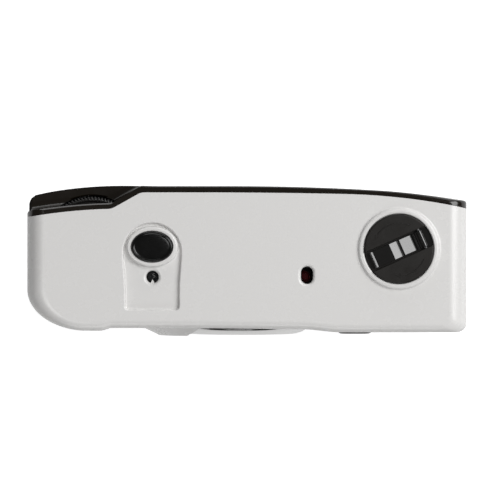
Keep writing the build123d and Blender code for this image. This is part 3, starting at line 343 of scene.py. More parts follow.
# Lens surround, a bulge left of the ring with an eased brow, then the ring's seat and the hole for the barrel
surround = [(-14.0, 15.0, face_y + 1.2), (-14.1, 15.2, face_y + 0.3), (-14.05, 15.05, face_y - 0.05)]
surround += [(-12.85, 11.5, bulge_y + 0.36), (-12.78, 11.3, bulge_y + 0.18)]
surround += [(-12.73, 11.12, bulge_y + 0.06), (-12.7, 10.9, bulge_y + 0.01), (-12.7, 10.5, bulge_y)]
join(housing, solid("surround", [(ring(x, film_z, r, count=144), y) for x, r, y in surround], "deep"))
ring_seat_r, barrel_hole_r = 17.85, 12.2
cut(housing, recess(ring(lens_x, film_z, ring_seat_r, count=144), face_y, bulge_y, 0.15, 0, "deep"))
cut(housing, recess(ring(lens_x, film_z, barrel_hole_r), face_y + proud, face_y - 0.5, 0, 0, "deep"))

# Knob well with its rounded ridge
boss_r, well_r, shaft_hole_r, well_z = 10.9, 9.06, 2.7, top_z - 1.1
boss = [(ring(knob_x, axis_y, boss_r), z) for z in (top_z - 2.5, top_z - 0.2)]
join(housing, solid("boss", boss))
ridge = [(8.6, -0.6), (11.1, -0.6), (11.1, -0.01), (10.85, 0.02), (10.65, 0.08), (10.52, 0.2)]
ridge += [(10.43, 0.36), (10.32, 0.54), (10.15, 0.69), (9.95, 0.77), (9.7, 0.8), (8.6, 0.8)]
ridge = [(ring(knob_x, axis_y, r, count=160), top_z + h) for r, h in ridge]
join(housing, solid("ridge", ridge, hollow=True))
cut(housing, recess(ring(knob_x, axis_y, well_r, count=160), well_z, top_z + 0.8, 0.35))
cut(housing, recess(ring(knob_x, axis_y, shaft_hole_r, count=48), top_z - 6, well_z, 0))

# Sunk panel, button rim and counter hole with its pointer
half_wide, half_waist, tuck, crown = 7.5, 6.95, 0.55, 7.11
shoulder_y, waist_length, waist_y, panel_front, panel_round = button_y - 1.0, 9.85, -7.0, -12.5, 1.0
corner_x, corner_y = 5.95, -11.5
centre_y = shoulder_y + (crown ** 2 - half_wide ** 2) / (2 * crown)
reach = (half_wide ** 2 + crown ** 2) / (2 * crown)
lean = math.degrees(math.asin((shoulder_y - centre_y) / reach))
panel = arc(0, centre_y, reach, reach, lean, 180 - lean, 40)
for i in range(11):
    t = i / 11
    panel.append((-half_wide + tuck * t * t * (3 - 2 * t), shoulder_y - waist_length * t))
panel += run((-half_waist, waist_y), (-half_waist, corner_y), 5)
panel += arc(-corner_x, corner_y, panel_round, panel_round, 180, 270, 6)
panel += run((-corner_x, panel_front), (corner_x, panel_front), 12)
panel += arc(corner_x, corner_y, panel_round, panel_round, 270, 360, 6)
panel += run((half_waist, corner_y), (half_waist, waist_y), 5)
for i in range(11):
    t = 1 - i / 11
    panel.append((half_wide - tuck * t * t * (3 - 2 * t), shoulder_y - waist_length * t))
panel = [(x + button_x, y) for x, y in panel]
under = grown(panel, 1.2)
join(housing, solid("under", [(under, panel_z - wall), (under, top_z - wall + 0.1)]))
cut(housing, recess(panel, panel_z, top_z, 0.42, 0.4))
rim_foot, rim_round, rim_top = 0.55, 0.6, top_z + 0.25
rim = [(rim_foot, panel_z - 0.5)]
rim += [(rim_foot * (1 - math.sin(turn)), panel_z + rim_foot * (1 - math.cos(turn))) for turn in quarter]
rim += [(-rim_round * (1 - math.cos(turn)), rim_top - rim_round * (1 - math.sin(turn))) for turn in quarter]
rim_line = ring(button_x, button_y, 6.65, 5.2, 144)
join(housing, solid("rim", [(grown(rim_line, by), z) for by, z in rim]))
cut(housing, recess(ring(button_x, button_y, 5.45, 4.1, 144), panel_z - 4, rim_top, 0.16))
cut(housing, recess(ring(counter_x, counter_y, counter_r, count=64), panel_z - 3, panel_z, 0.85))
tip = [(-0.62, -1.8), (0.62, -1.8), (0.0, -0.62)]
tip = [(counter_x + x, counter_y + y) for x, y in tip]
join(housing, solid("tip", [(tip, panel_z - wall), (tip, panel_z - 0.62)]))

# Openings of the lamp, flash, viewfinder and flash button
lamp_line = rounded(lamp_x, lamp_y, 3.1, 4.5, 1.549, 10)
cut(housing, recess(lamp_line, top_z - 4, top_z, 0.85))
flash_line = rounded(flash_x, flash_z, 20.0, 12.5, 1.2)
finder_line = rounded(lens_x, finder_z, 17.0, 9.4, 1.2)
key_line = rounded(flash_key_x, flash_key_z, 9.0, 6.2, 3.099, 12)
for line, surface in ((flash_line, flash_y), (finder_line, face_y), (key_line, flash_y)):
    cut(housing, recess(line, surface + proud, surface, lay="deep"))

# Battery opening with its pivot ears, screw holes and the rewind release in the base
bay_front, bay_back, bay_half, ear_half, pivot_half = -14.6, -2.6, 22.9, 25.1, 24.2
cut(housing, slab(-bay_half, bay_half, bay_front, bay_back, -1, proud))
for ear_left, ear_right in ((-ear_half, -bay_half), (bay_half, ear_half)):
    join(housing, slab(ear_left, ear_right, -5.0, bay_back, 0.4, 1.95))
pivot = ring(-3.8, 0.95, 0.55, count=24)
cut(housing, solid("pivot", [(pivot, -pivot_half), (pivot, pivot_half)], "long"))
for x, y in screw_places:
    cut(housing, recess(ring(x, y, 1.05, count=24), proud, 0.5, 0))
    cut(housing, recess(ring(x, y, 1.9, count=48), 0.9, 0, 0.2))
pad = ring(release_x, release_y, 3.6, count=48)
join(housing, solid("pad", [(pad, wall - 0.2), (pad, wall + 0.5)]))
cut(housing, recess(ring(release_x, release_y, 2.1, count=48), proud, 0, 0.25))

# Strap recess with its bar's holes, and latch slot, in the end beside the knob
join(housing, slab(right - 4.2, right - 0.4, -12.0, -4.0, 39.5, 52.5))
cut(housing, recess(rounded(-8.0, 46.0, 6.0, 11.0, 0.6), right - 3.2, right, 0.4, 0.3, "long"))
bar = ring(right - 1.2, -8.0, 0.82, count=24)
cut(housing, solid("bar", [(bar, 39.7), (bar, 52.3)]))
cut(housing, slab(right - 2.5, right + 1, 6.6, 11.4, 21.0, 34.0))
housing.name = "white_housing"


def ease(piece, angle=32):
    """Soft shading over the rounds, crisp at real corners."""
    piece.data.shade_smooth()
    piece.data.set_sharp_from_angle(angle=math.radians(angle))
    weigh = piece.modifiers.new("weigh", "WEIGHTED_NORMAL")
    weigh.keep_sharp = True
    weigh.weight = 60


def stuff(name, colour, roughness, mottle=0.04, grain=0.0, grain_mm=0.2, wear=0.05, metal=0.0):
    """A moulded or metal finish: slightly uneven colour and gloss, and a fine grain in the surface."""
    material = bpy.data.materials.new(name)
    material.use_nodes = True
    tree = material.node_tree
    shader = tree.nodes["Principled BSDF"]
    shader.inputs["Metallic"].default_value = metal
    shader.inputs["Coat Roughness"].default_value = 0.08
    place = tree.nodes.new("ShaderNodeTexCoord")
    cloud = tree.nodes.new("ShaderNodeTexNoise")
    cloud.inputs["Scale"].default_value = 90
    cloud.inputs["Detail"].default_value = 6
    tree.links.new(place.outputs["Object"], cloud.inputs["Vector"])
    tint = tree.nodes.new("ShaderNodeMix")
    tint.data_type = "RGBA"
    tint.inputs["A"].default_value = (*[c * (1 - mottle) for c in colour], 1)
    tint.inputs["B"].default_value = (*[min(1.0, c * (1 + mottle)) for c in colour], 1)
    tree.links.new(cloud.outputs["Fac"], tint.inputs["Factor"])
    tree.links.new(tint.outputs["Result"], shader.inputs["Base Color"])
    handled = tree.nodes.new("ShaderNodeTexNoise")
    handled.inputs["Scale"].default_value = 260
    handled.inputs["Detail"].default_value = 8
    handled.inputs["Roughness"].default_value = 0.65
    tree.links.new(place.outputs["Object"], handled.inputs["Vector"])
    gloss = tree.nodes.new("ShaderNodeMapRange")
    gloss.inputs["From Min"].default_value = 0.3
    gloss.inputs["From Max"].default_value = 0.7
    gloss.inputs["To Min"].default_value = max(0.02, roughness - wear)
    gloss.inputs["To Max"].default_value = roughness + wear
    tree.links.new(handled.outputs["Fac"], gloss.inputs["Value"])
    tree.links.new(gloss.outputs["Result"], shader.inputs["Roughness"])
    if grain:
        fine = tree.nodes.new("ShaderNodeTexNoise")
        fine.inputs["Scale"].default_value = 1 / (grain_mm * MM)
        fine.inputs["Detail"].default_value = 2
        tree.links.new(place.outputs["Object"], fine.inputs["Vector"])
        bump = tree.nodes.new("ShaderNodeBump")
        bump.inputs["Strength"].default_value = 0.6
        bump.inputs["Distance"].default_value = grain * MM
        tree.links.new(fine.outputs["Fac"], bump.inputs["Height"])
        tree.links.new(bump.outputs["Normal"], shader.inputs["Normal"])
    return material


def fit(piece, material, body_name, node=None):
    """Gives a piece its finish and the body it moves with, and the node whose place it takes."""
    piece.data.materials.clear()
    piece.data.materials.append(material)
    piece.data.polygons.foreach_set("material_index", [0] * len(piece.data.polygons))
    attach(piece, body_name)
    if node:
        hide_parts(node)


ease(housing)
white_styrene = stuff("white_styrene", (0.71, 0.702, 0.691), 0.27, 0.006, 0.0008, 3.0, 0.02)
fit(housing, white_styrene, "root", "front_shell")


# Rear frame
# One glossy black moulding closes the top behind the housing: the band over the door, the thumb shoulder at
# the advance wheel, and the post with the door's two fixed hinge knuckles. The chassis deck holds it up.
frame_low, shoulder_z, cut_low = 50.0, 54.6, 45
seam, band, cove = 0.03, 1.68, 2.4
takeup_x = -40.3
rear = body(frame_low, top_z, (front_round, end_round, 0.7), 0)
cut(rear, solid("front", [(parting(seam), cut_low), (parting(seam), 70)]))
cut(rear, inside(cut_low, top_z - wall, wall))
low_left = parting(band)[-1][1]
thumb = [(-62, low_left)] + [p for p in parting(band)[::-1] if -60 < p[0] <= -28.1]
thumb += [(-24.1, 21.4), (-24.1, 25), (-62, 25)]
slope = [(thumb, frame_low - 2), (thumb, top_z - 0.27)]
slope += [(grown(thumb, 0.36), top_z + 0.03), (grown(thumb, 0.36), 66)]
cut(rear, solid("thumb_recess", slope))
shoulder = body(frame_low, shoulder_z + cove, (0.5, 1.5, 0.5), 0)
cut(shoulder, recess(thumb, shoulder_z, shoulder_z + 4, 0, cove))
cut(shoulder, solid("front", [(parting(seam), cut_low), (parting(seam), 60)]))
cut(shoulder, slab(-27.3, 60, -30, 30, cut_low, 60))
cut(shoulder, inside(41, shoulder_z - 1.4, 2.1))
join(rear, shoulder)
end_line = [(-60, low_left), (-56.3, low_left), (-55.95, 15.7)]
end_line += corner((-55.92, 15.8), (-55.7, 17.15), (-54.5, 17.55), 8) + [(-54.5, 22), (-60, 22)]
tip_line = [(-57.5, low_left + 1)] + corner((-57.2, 11.9), (-56.9, 13.1), (-55.9, 13.2), 8)
tip_line += [(-55.9, low_left + 1)]
for trim in (end_line, tip_line):
    cut(rear, solid("trim", [(trim, 50.6), (trim, 70)]))
pocket = [(13.9, 51.9), (13.9, 54.2), (14.0, 54.42), (14.22, 54.6), (14.3, 54.68), (13.9, 54.72)]
pocket += [(13.9, 56.7)]
cut(rear, solid("pocket", [(ring(takeup_x, axis_y, r, count=160), z) for r, z in pocket]))
cut(rear, slab(-55.5, 55.5, -57, 12.9, 0, 51.02))
hinge_x, hinge_y, post_back = left + 2.1, back_y - 4.6, 12.15
join(rear, slab(left, -55.5, 11.78, 12.7, 1.0, 50.5))
for low, high in ((13.3, 20.0), (30.0, 36.7)):
    barrel = [(1.05, low), (1.2, low + 0.15), (1.2, high - 0.15), (1.05, high)]
    join(rear, solid("knuckle", [(ring(hinge_x, hinge_y, r, count=40), z) for r, z in barrel]))
    join(rear, slab(hinge_x - 0.45, hinge_x + 0.7, post_back, hinge_y, low + 0.1, high - 0.1))
    join(rear, slab(left + 0.4, hinge_x + 0.7, post_back, 12.69, low + 0.1, high - 0.1))
cut(rear, solid("bore", [(ring(hinge_x, hinge_y, 0.57, count=24), z) for z in (0, frame_low)]))
cut(rear, recess(rounded(lens_x, finder_z, 9.0, 6.2, 0.8), 12.9, back_y, 0.35, 0, "deep"))
rear.name = "black_rear_frame"
ease(rear)
gloss_black = stuff("gloss_black", (0.0078, 0.0056, 0.0034), 0.17, 0.06, 0.003, 0.9, 0.04)
fit(rear, gloss_black, "root", "rear_frame")


# Advance wheel
# A black moulded thumb wheel with rounded teeth, on the take-up spool's shaft. Its rim comes out through the
# slot under the band, and it is hollowed from below round a hub.
wheel_r, tooth_count = 13.6, 96


def toothed(r, depth, count, steps=8):
    """A circle of rounded teeth about the take-up axis."""
    line = []
    for i in range(count * steps):
        turn = 2 * math.pi * i / (count * steps)
        out = r - depth * (0.5 - 0.5 * math.cos(count * turn)) ** 1.4
        line.append((takeup_x + out * math.cos(turn), axis_y + out * math.sin(turn)))
    return line


teeth = [(0.5, 52.3, 0.3), (0.12, 52.42, 0.45), (0.0, 52.65, 0.55), (0.0, 55.75, 0.55), (0.1, 56.02, 0.5)]
teeth += [(0.32, 56.2, 0.35), (0.7, 56.3, 0.12), (1.1, 56.3, 0.0), (1.25, 56.22, 0.0), (1.5, 55.95, 0.0)]
wheel = [(toothed(wheel_r - inset, depth, tooth_count), z) for inset, z, depth in teeth]
wheel = solid("thumb_wheel", wheel)
hollow = [(4.0, 51.0), (12.0, 51.0), (12.0, 54.7), (4.0, 54.7)]
cut(wheel, solid("hollow", [(ring(takeup_x, axis_y, r), z) for r, z in hollow], hollow=True))
ease(wheel, 40)
wheel_black = stuff("wheel_black", (0.009, 0.0085, 0.008), 0.28, 0.08, 0.006, 0.3)
fit(wheel, wheel_black, "film_wheel", "advance_wheel")


# Shutter button
# An oval black cap with a fine raised rim round a shallow dish, on a stem that runs in the chassis guide. A
# flange under the housing keeps it in, and a coil spring lifts it.


def tuned(finish, sockets):
    """A finish with some of its shader's own values changed."""
    shader = finish.node_tree.nodes["Principled BSDF"]
    for socket, value in sockets.items():
        shader.inputs[socket].default_value = value
    return finish


cap_rx, cap_ry = 5.36, 4.02
cap = [(4.36, 3.02, 54.0), (4.36, 3.02, 59.0), (-0.35, -0.3, 59.0), (-0.35, -0.3, 59.45)]
cap += [(0, 0, 59.45), (0, 0, 62.3)]
crest = [(0.05, 62.5), (0.16, 62.68), (0.3, 62.8), (0.42, 62.86), (0.52, 62.87), (0.6, 62.84), (0.68, 62.76)]
crest += [(0.78, 62.7), (1.0, 62.66), (1.5, 62.62), (3.0, 62.59), (3.9, 62.58)]
cap += [(inset, inset, z) for inset, z in crest]
button = [(ring(button_x, button_y, cap_rx - i, cap_ry - j, 144), z) for i, j, z in cap]
button = solid("shutter_cap", button)
ease(button, 40)
button_black = stuff("button_black", (0.002, 0.002, 0.0019), 0.2, 0.08, 0.004, 0.35)
tuned(button_black, {"Specular IOR Level": 0.38})
fit(button, button_black, "shutter_button", "shutter_button")


# Counter dial
# The frame numbers are printed in pale ink on the black dial, which has 40 places, and a curved start mark
# stands at the window. A clear pane is set under the opening.
dial_x, dial_y, dial_top, dial_places = -20.3, -6.6, 58.9, 40
number_high, ink_deep = 1.35, 0.015
reach = math.hypot(counter_x - dial_x, counter_y - dial_y)
window_turn = math.atan2(counter_y - dial_y, counter_x - dial_x)
ink = stuff("pale_ink", (0.82, 0.82, 0.79), 0.6, 0.1, 0.002, 0.2)
for number in range(5, dial_places, 5):
    turn = window_turn + 2 * math.pi * number / dial_places
    letters = bpy.data.curves.new("number", "FONT")
    letters.body = str(number)
    letters.size = number_high * MM
    letters.extrude = ink_deep * MM
    letters.align_x = "CENTER"
    letters.align_y = "CENTER"
    figure = bpy.data.objects.new("number", letters)
    scene.collection.objects.link(figure)
    bpy.context.view_layer.update()
    shape = bpy.data.meshes.new_from_object(figure.evaluated_get(bpy.context.evaluated_depsgraph_get()))
    bpy.data.objects.remove(figure)
    spot = Vector((dial_x + reach * math.cos(turn), dial_y + reach * math.sin(turn), dial_top + 0.02)) * MM
    shape.transform(Matrix.Translation(spot) @ Matrix.Rotation(turn - window_turn, 4, "Z"))
    printed = bpy.data.objects.new("dial_number_" + str(number), shape)
    scene.collection.objects.link(printed)
    fit(printed, ink, "dial")
curl = arc(0.0, 0.26, 0.27, 0.26, 20, 270, 12) + arc(0.0, -0.26, 0.27, 0.26, 90, -160, 12)
mark_x, mark_y, half_stroke = counter_x + 0.3, counter_y + 0.42, 0.075
wide, narrow = [], []
for i, (x, y) in enumerate(curl):
    ahead_x, ahead_y = curl[min(i + 1, len(curl) - 1)]
    behind_x, behind_y = curl[max(i - 1, 0)]
    dx, dy = ahead_x - behind_x, ahead_y - behind_y
    length = math.hypot(dx, dy)
    dx, dy = dx / length * half_stroke, dy / length * half_stroke
    wide.append((mark_x + x + dy, mark_y + y - dx))
    narrow.append((mark_x + x - dy, mark_y + y + dx))
curl = wide + narrow[::-1]
mark = solid("start_mark", [(curl, dial_top), (curl, dial_top + 0.03)])
fit(mark, ink, "dial")


# Button and release springs
# Two coils of spring wire with closed ends. One stands on the chassis and lifts the shutter button, the other
# stands on the rewind release in the base and pushes it out.
coil_wire, turn_points = 0.35, 36


def coil(name, x, y, low, high, r, wire, turns):
    """A compression spring with a closed turn at each end."""
    bend = bpy.data.curves.new(name, "CURVE")
    bend.dimensions = "3D"
    bend.bevel_depth = wire * MM / 2
    bend.bevel_resolution = 3
    bend.use_fill_caps = True
    line = bend.splines.new("POLY")
    count = turn_points * (turns + 2)
    line.points.add(count)
    first, last = low + wire / 2, high - wire / 2
    for i in range(count + 1):
        turn = i / turn_points
        if turn < 1:
            z = first + wire * turn
        elif turn > turns + 1:
            z = last - wire * (turns + 2 - turn)
        else:
            z = first + wire + (last - first - 2 * wire) * (turn - 1) / turns
        angle = 2 * math.pi * turn
        line.points[i].co = ((x + r * math.cos(angle)) * MM, (y + r * math.sin(angle)) * MM, z * MM, 1)
    draft = bpy.data.objects.new(name, bend)
    scene.collection.objects.link(draft)
    bpy.context.view_layer.update()
    wound = bpy.data.meshes.new_from_object(draft.evaluated_get(bpy.context.evaluated_depsgraph_get()))
    bpy.data.objects.remove(draft)
    piece = bpy.data.objects.new(name, wound)
    scene.collection.objects.link(piece)
    ease(piece, 50)
    return piece


spring_wire = stuff("spring_wire", (0.36, 0.36, 0.37), 0.28, 0.1, 0.004, 0.2, 0.08, 1.0)
lift_spring = coil("lift_spring", button_x, button_y, 54.5, 59.0, 1.5, coil_wire, 4)
fit(lift_spring, spring_wire, "root", "button_spring")
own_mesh(lift_spring)
push_spring = coil("push_spring", release_x, release_y, 2.5, 5.5, 1.7, coil_wire, 2)
fit(push_spring, spring_wire, "root", "release_spring")
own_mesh(push_spring)


# Rewind knob
# A black knob with a fine spark-eroded grain on its two half discs and a slot across it for the folded crank.
# A curved arrow is raised on each half, and the knob stands on the shaft that turns the cassette.
slot_turn, slot_half, slot_z, knob_top = 24.0, 2.7, 61.9, 63.4


def swung(line):
    """Points given along and across the slot, set on the knob."""
    c, s = math.cos(math.radians(slot_turn)), math.sin(math.radians(slot_turn))
    return [(knob_x + u * c - v * s, axis_y + u * s + v * c) for u, v in line]


rim = [(8.95, 61.2), (8.95, 63.0), (8.92, 63.14), (8.84, 63.27), (8.72, 63.36), (8.56, knob_top)]
knob = solid("knob", [(ring(knob_x, axis_y, r, count=160), z) for r, z in rim])
slot = swung([(-12, -slot_half), (12, -slot_half), (12, slot_half), (-12, slot_half)])
cut(knob, recess(slot, slot_z, knob_top, 0.14))
arrow_foot, arrow_top, half_bow, half_barb, barb_turn = 63.3, 63.52, 0.14, 0.5, 0.17
for first, last, r, head, way in ((66, 150, 6.65, 150, 1), (-88, -20, 6.9, -88, -1)):
    outer = arc(knob_x, axis_y, r + half_bow, r + half_bow, first, last, 24)
    inner = arc(knob_x, axis_y, r - half_bow, r - half_bow, first, last, 24)
    bow = outer + inner[::-1]
    join(knob, solid("bow", [(bow, arrow_foot), (grown(bow, -0.02), 63.47), (grown(bow, -0.08), arrow_top)]))
    at = math.radians(head)
    barb = [(r - half_barb, at), (r + half_barb, at), (r, at + way * barb_turn)][::way]
    barb = [(knob_x + out * math.cos(a), axis_y + out * math.sin(a)) for out, a in barb]
    join(knob, solid("barb", [(barb, arrow_foot), (barb, 63.46), (grown(barb, -0.1), arrow_top)]))
ease(knob, 35)
knob_black = stuff("knob_black", (0.0075, 0.0062, 0.005), 0.46, 0.3, 0.03, 0.4, 0.08)
tuned(knob_black, {"Specular IOR Level": 0.33})
fit(knob, knob_black, "rewind_knob", "rewind_knob")


# Rewind crank
# A glossy black lever folded into the slot and hinged on a steel pin at its right end. It has a hollowed
# thumb facet and a raised one in the middle, cross ribs beside the hinge barrel, and a bevelled outer end.
profile = [(-7.0, 62.05), (6.2, 62.05)] + arc(6.4, 62.8, 0.78, 0.78, -80, 92, 14)
profile += [(6.0, 63.58), (5.92, 63.3), (5.75, 63.3), (5.5, 63.64), (5.2, 63.64), (5.05, 63.3)]
profile += [(4.85, 63.3), (4.7, 63.66), (4.4, 63.66), (4.25, 63.3), (3.95, 63.3), (3.74, 63.9)]
profile += [(2.9, 63.7), (0.88, 63.2), (0.78, 62.95), (0.5, 62.96), (0.0, 63.04), (-0.6, 63.18)]
profile += [(-1.2, 63.38), (-1.7, 63.58), (-1.86, 63.66), (-2.05, 63.7), (-6.6, 63.7), (-6.72, 63.68)]
profile += [(-7.3, 63.52), (-7.42, 63.44), (-7.5, 63.3), (-7.48, 62.3), (-7.4, 62.12), (-7.25, 62.06)]
edges = [(-0.14, -2.2), (-0.04, -2.16), (0.0, -2.06), (0.0, 2.06), (-0.04, 2.16), (-0.14, 2.2)]
crank = solid("crank_lever", [(grown(profile, by), v) for by, v in edges], "deep")
knob_place = Matrix.Translation(Vector((knob_x, axis_y, 0)) * MM)
crank.data.transform(knob_place @ Matrix.Rotation(math.radians(slot_turn), 4, "Z"))
ease(crank, 30)
crank_black = stuff("crank_black", (0.006, 0.0056, 0.0052), 0.13, 0.08, 0.0005, 0.6, 0.03)
tuned(crank_black, {"IOR": 1.7})
fit(crank, crank_black, "crank", "crank_arm")

# Polished floor of the slot, beyond the hinge barrel
landing = swung([(6.6, 2.69), (6.6, -2.69)] + arc(0, 0, 8.88, 8.88, -17.6, 17.6, 12))
slot_floor = solid("slot_floor", [(landing, slot_z - 0.1), (landing, slot_z + 0.05)])
fit(slot_floor, crank_black, "rewind_knob")


# Lens ring
# A plated ring pressed into the housing's seat: a rounded shoulder that flattens to a narrow lip, and a dish
# that falls to the barrel.
seat_y = face_y + 0.02
hoop = [(17.75, seat_y), (17.75, -17.3), (17.68, -17.62), (17.5, -17.98), (17.2, -18.34), (16.75, -18.68)]
hoop += [(16.2, -18.96), (15.5, -19.2), (14.95, -19.34), (14.7, -19.4), (14.45, -19.44), (14.25, -19.43)]
hoop += [(14.1, -19.36), (11.5, -16.9), (11.36, -16.75), (11.3, -16.55), (11.3, -16.2), (12.1, -16.2)]
hoop += [(12.1, seat_y)]
hoop = [(ring(lens_x, film_z, r, count=176), y) for r, y in hoop]
lens_hoop = solid("lens_hoop", hoop, "deep", hollow=True)
ease(lens_hoop, 35)
plated = stuff("plated", (0.57, 0.567, 0.562), 0.16, 0.03, 0.002, 0.4, 0.04, 1.0)
fit(lens_hoop, plated, "root", "lens_ring")


# Flash button
# An oval black button on the front that charges the flash, with a flange inside the wall and a stem that
# presses the board's switch dome.
key_wide, key_high, key_round = 8.8, 6.0, 2.98
oval = [(0.6, 0.9, -16.0), (0.6, 0.9, -16.7), (0, 0, -16.7), (0, 0, -18.9), (-0.06, -0.06, -19.15)]
oval += [(-0.2, -0.2, -19.32), (-0.42, -0.42, -19.42), (-0.7, -0.7, -19.45), (-1.4, -1.4, -19.42)]
flash_key = []
for i, j, y in oval:
    outline = rounded(flash_key_x, flash_key_z, key_wide + 2 * i, key_high + 2 * j, key_round + j, 10)
    flash_key.append((outline, y))
flash_key = solid("flash_key", flash_key, "deep")
stem = ring(flash_key_x, flash_key_z, 1.2, count=24)
join(flash_key, solid("stem", [(stem, -16.2), (stem, -14.8)], "deep"))
ease(flash_key, 35)
fit(flash_key, gloss_black, "flash_button", "flash_button")


# Flash window
# A clear plastic cover let into the front, its face pressed in fine upright prisms that spread the light. A
# flange behind the wall holds it.
pane_left, pane_right, pane_back, prism_wide, prism_count = 28.6, 48.4, flash_y + 1.52, 0.45, 45
pane_line = [(pane_left + prism_wide * i, flash_y + (0.08 if i % 2 else 0.3)) for i in range(prism_count)]
pane_line += [(pane_right, pane_back), (pane_left, pane_back)]
flash_pane = solid("flash_pane", [(pane_line, 45.8), (pane_line, 58.2)])
clip = rounded(flash_x, flash_z, 19.9, 12.4, 1.15)
keep(flash_pane, solid("clip", [(clip, flash_y - 1), (clip, flash_y + 3)], "deep"))
join(flash_pane, slab(27.7, 49.3, flash_y + 1.51, flash_y + 2.1, 44.95, 59.05))


def glass(name, tint, roughness, coat_tint=None):
    """Clear plastic or coated glass, with faint wiping marks in its gloss."""
    clear = stuff(name, tint, roughness, 0.01, 0.0, 0.2, roughness * 0.6)
    tuned(clear, {"Transmission Weight": 1.0, "IOR": 1.5})
    if coat_tint:
        bloom = (*coat_tint, 1)
        tuned(clear, {"Coat Weight": 0.15, "Coat Tint": bloom, "Specular Tint": bloom})
    return clear


fit(flash_pane, glass("prism_plastic", (0.93, 0.95, 0.96), 0.04), "root", "flash_window")


# Housing screws
# Four self-tapping screws with round heads and cross slots, sunk in the base and driven up into the chassis
# bosses.
screws = None
pitch, slot_long, slot_wide, slot_deep = 0.34, 1.1, 0.24, 0.6
for x, y in screw_places:
    turns = [(1.62, 0.15), (1.76, 0.2), (1.8, 0.32), (1.8, 0.88), (0.86, 0.88)]
    for i in range(12):
        turns += [(0.9, 1.0 + pitch * i), (0.72, 1.17 + pitch * i)]
    turns.append((0.3, 5.25))
    screw = solid("screws", [(ring(x, y, r, count=32), z) for r, z in turns])
    for dx, dy in ((slot_long, slot_wide), (slot_wide, slot_long)):
        cut(screw, slab(x - dx, x + dx, y - dy, y + dy, 0, slot_deep))
    screws = join(screws, screw) if screws else screw
ease(screws, 35)
steel = stuff("plain_steel", (0.42, 0.42, 0.43), 0.3, 0.06, 0.004, 0.15, 0.08, 1.0)
fit(screws, steel, "root", "housing_screws")


# Door, glasses, fittings and inner workings
# These keep the shapes they have in the measured model. Each gets the finish of its own material: grained
# black mouldings, clear and coated glass, steel, foil, circuit board, sleeve, copper and foam.
pane = stuff("thin_pane", (0.012, 0.012, 0.013), 0.04, 0.02, 0.0, 0.2, 0.02)
tuned(pane, {"Alpha": 0.3, "Specular IOR Level": 0.3})
lamp_pane = stuff("lamp_pane", (0.008, 0.007, 0.007), 0.04, 0.02, 0.0, 0.2, 0.02)
tuned(lamp_pane, {"Alpha": 0.15, "Specular IOR Level": 0.15})
lamp_red = stuff("lamp_red", (0.05, 0.0015, 0.003), 0.3, 0.15, 0.003, 0.4)
tuned(lamp_red, {"Specular IOR Level": 0.15})
finishes = {
    "white_gloss": white_styrene,
    "black_gloss": gloss_black,
    "black_plastic": stuff("grained_black", (0.02, 0.02, 0.0205), 0.42, 0.1, 0.02, 0.35, 0.07),
    "dark_plastic": stuff("inner_moulding", (0.035, 0.035, 0.037), 0.5, 0.12, 0.01, 0.5, 0.07),
    "ring_metal": plated,
    "steel": steel,
    "spring_steel": spring_wire,
    "reflector": stuff("reflector_foil", (0.8, 0.8, 0.81), 0.1, 0.02, 0.01, 1.4, 0.04, 1.0),
    "clear": glass("clear_plastic", (0.92, 0.95, 0.96), 0.03),
    "lens_glass": glass("coated_glass", (0.9, 0.93, 0.95), 0.02, (0.82, 0.8, 1.0)),
    "lamp_red": lamp_red,
    "circuit_board": stuff("circuit_board", (0.012, 0.07, 0.03), 0.4, 0.3, 0.01, 0.5),
    "capacitor_sleeve": stuff("capacitor_sleeve", (0.012, 0.014, 0.045), 0.25, 0.12, 0.004, 0.8),
    "winding": stuff("copper_winding", (0.5, 0.2, 0.06), 0.35, 0.2, 0.02, 0.25, 0.08, 0.6),
    "foam": stuff("foam", (0.008, 0.008, 0.008), 0.95, 0.3, 0.05, 0.3),
    "dial": stuff("dial_black", (0.008, 0.008, 0.008), 0.45, 0.1, 0.004, 0.3),
}
own = {
    "counter_window": pane,
    "lamp_window": lamp_pane,
    "crank_pin": stuff("blackened_pin", (0.05, 0.05, 0.05), 0.4, 0.1, 0.004, 0.2, 0.05, 1.0),
}
for name, piece in nodes.items():
    slot_name = piece.data.materials[0].name.split(".")[0]
    piece.data.materials.clear()
    piece.data.materials.append(own.get(name, finishes[slot_name]))


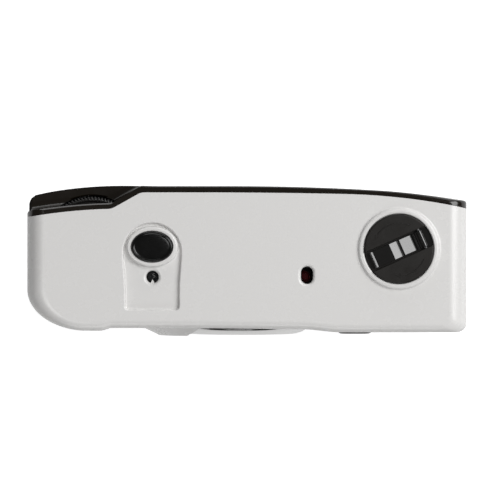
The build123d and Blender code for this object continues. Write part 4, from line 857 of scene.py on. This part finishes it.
# Room
# A large soft key light high on the right, a small fill overhead, low strips in front and behind. The paper
# floor also glows, but only towards the camera and in gloss and glass, so that it shows white there.
world = bpy.data.worlds.new("studio")
scene.world = world
world.use_nodes = True
world.node_tree.nodes["Background"].inputs["Color"].default_value = (1, 1, 1, 1)
world.node_tree.nodes["Background"].inputs["Strength"].default_value = 0.11


def softbox(name, place, size, power, aim=(0, 0, 0.04)):
    """A rectangular soft light that faces the object."""
    light = bpy.data.lights.new(name, "AREA")
    light.shape = "RECTANGLE"
    light.size, light.size_y = size
    light.energy = power
    box = bpy.data.objects.new(name, light)
    scene.collection.objects.link(box)
    box.location = place
    box.rotation_euler = (Vector(aim) - Vector(place)).to_track_quat("-Z", "Y").to_euler()


softbox("key", (0.64, 0.28, 0.76), (0.66, 0.66), 9.2)
softbox("fill", (-0.33, -0.19, 0.94), (0.26, 0.25), 1.3)
softbox("front", (-0.1, -0.95, 0.5), (0.7, 0.4), 2.2)
softbox("rear", (0.1, 1.0, 0.24), (1.0, 0.2), 2.0)

bpy.ops.mesh.primitive_plane_add(size=4)
floor = bpy.context.object
floor.name = "floor"
floor.location.z = -0.0002
glow_seen, glow_mirrored = 0.8, 0.45
paper = bpy.data.materials.new("paper")
paper.use_nodes = True
tree = paper.node_tree
tuned(paper, {"Base Color": (0.6, 0.6, 0.6, 1), "Roughness": 0.9, "Emission Color": (1, 1, 1, 1)})
path = tree.nodes.new("ShaderNodeLightPath")
mirrored = tree.nodes.new("ShaderNodeMath")
mirrored.operation = "MAXIMUM"
tree.links.new(path.outputs["Is Glossy Ray"], mirrored.inputs[0])
tree.links.new(path.outputs["Is Transmission Ray"], mirrored.inputs[1])
dimmed = tree.nodes.new("ShaderNodeMath")
dimmed.operation = "MULTIPLY"
dimmed.inputs[1].default_value = glow_mirrored
tree.links.new(mirrored.outputs[0], dimmed.inputs[0])
glow = tree.nodes.new("ShaderNodeMath")
glow.operation = "MULTIPLY_ADD"
glow.inputs[1].default_value = glow_seen
tree.links.new(path.outputs["Is Camera Ray"], glow.inputs[0])
tree.links.new(dimmed.outputs[0], glow.inputs[2])
tree.links.new(glow.outputs[0], tree.nodes["Principled BSDF"].inputs["Emission Strength"])
floor.data.materials.append(paper)
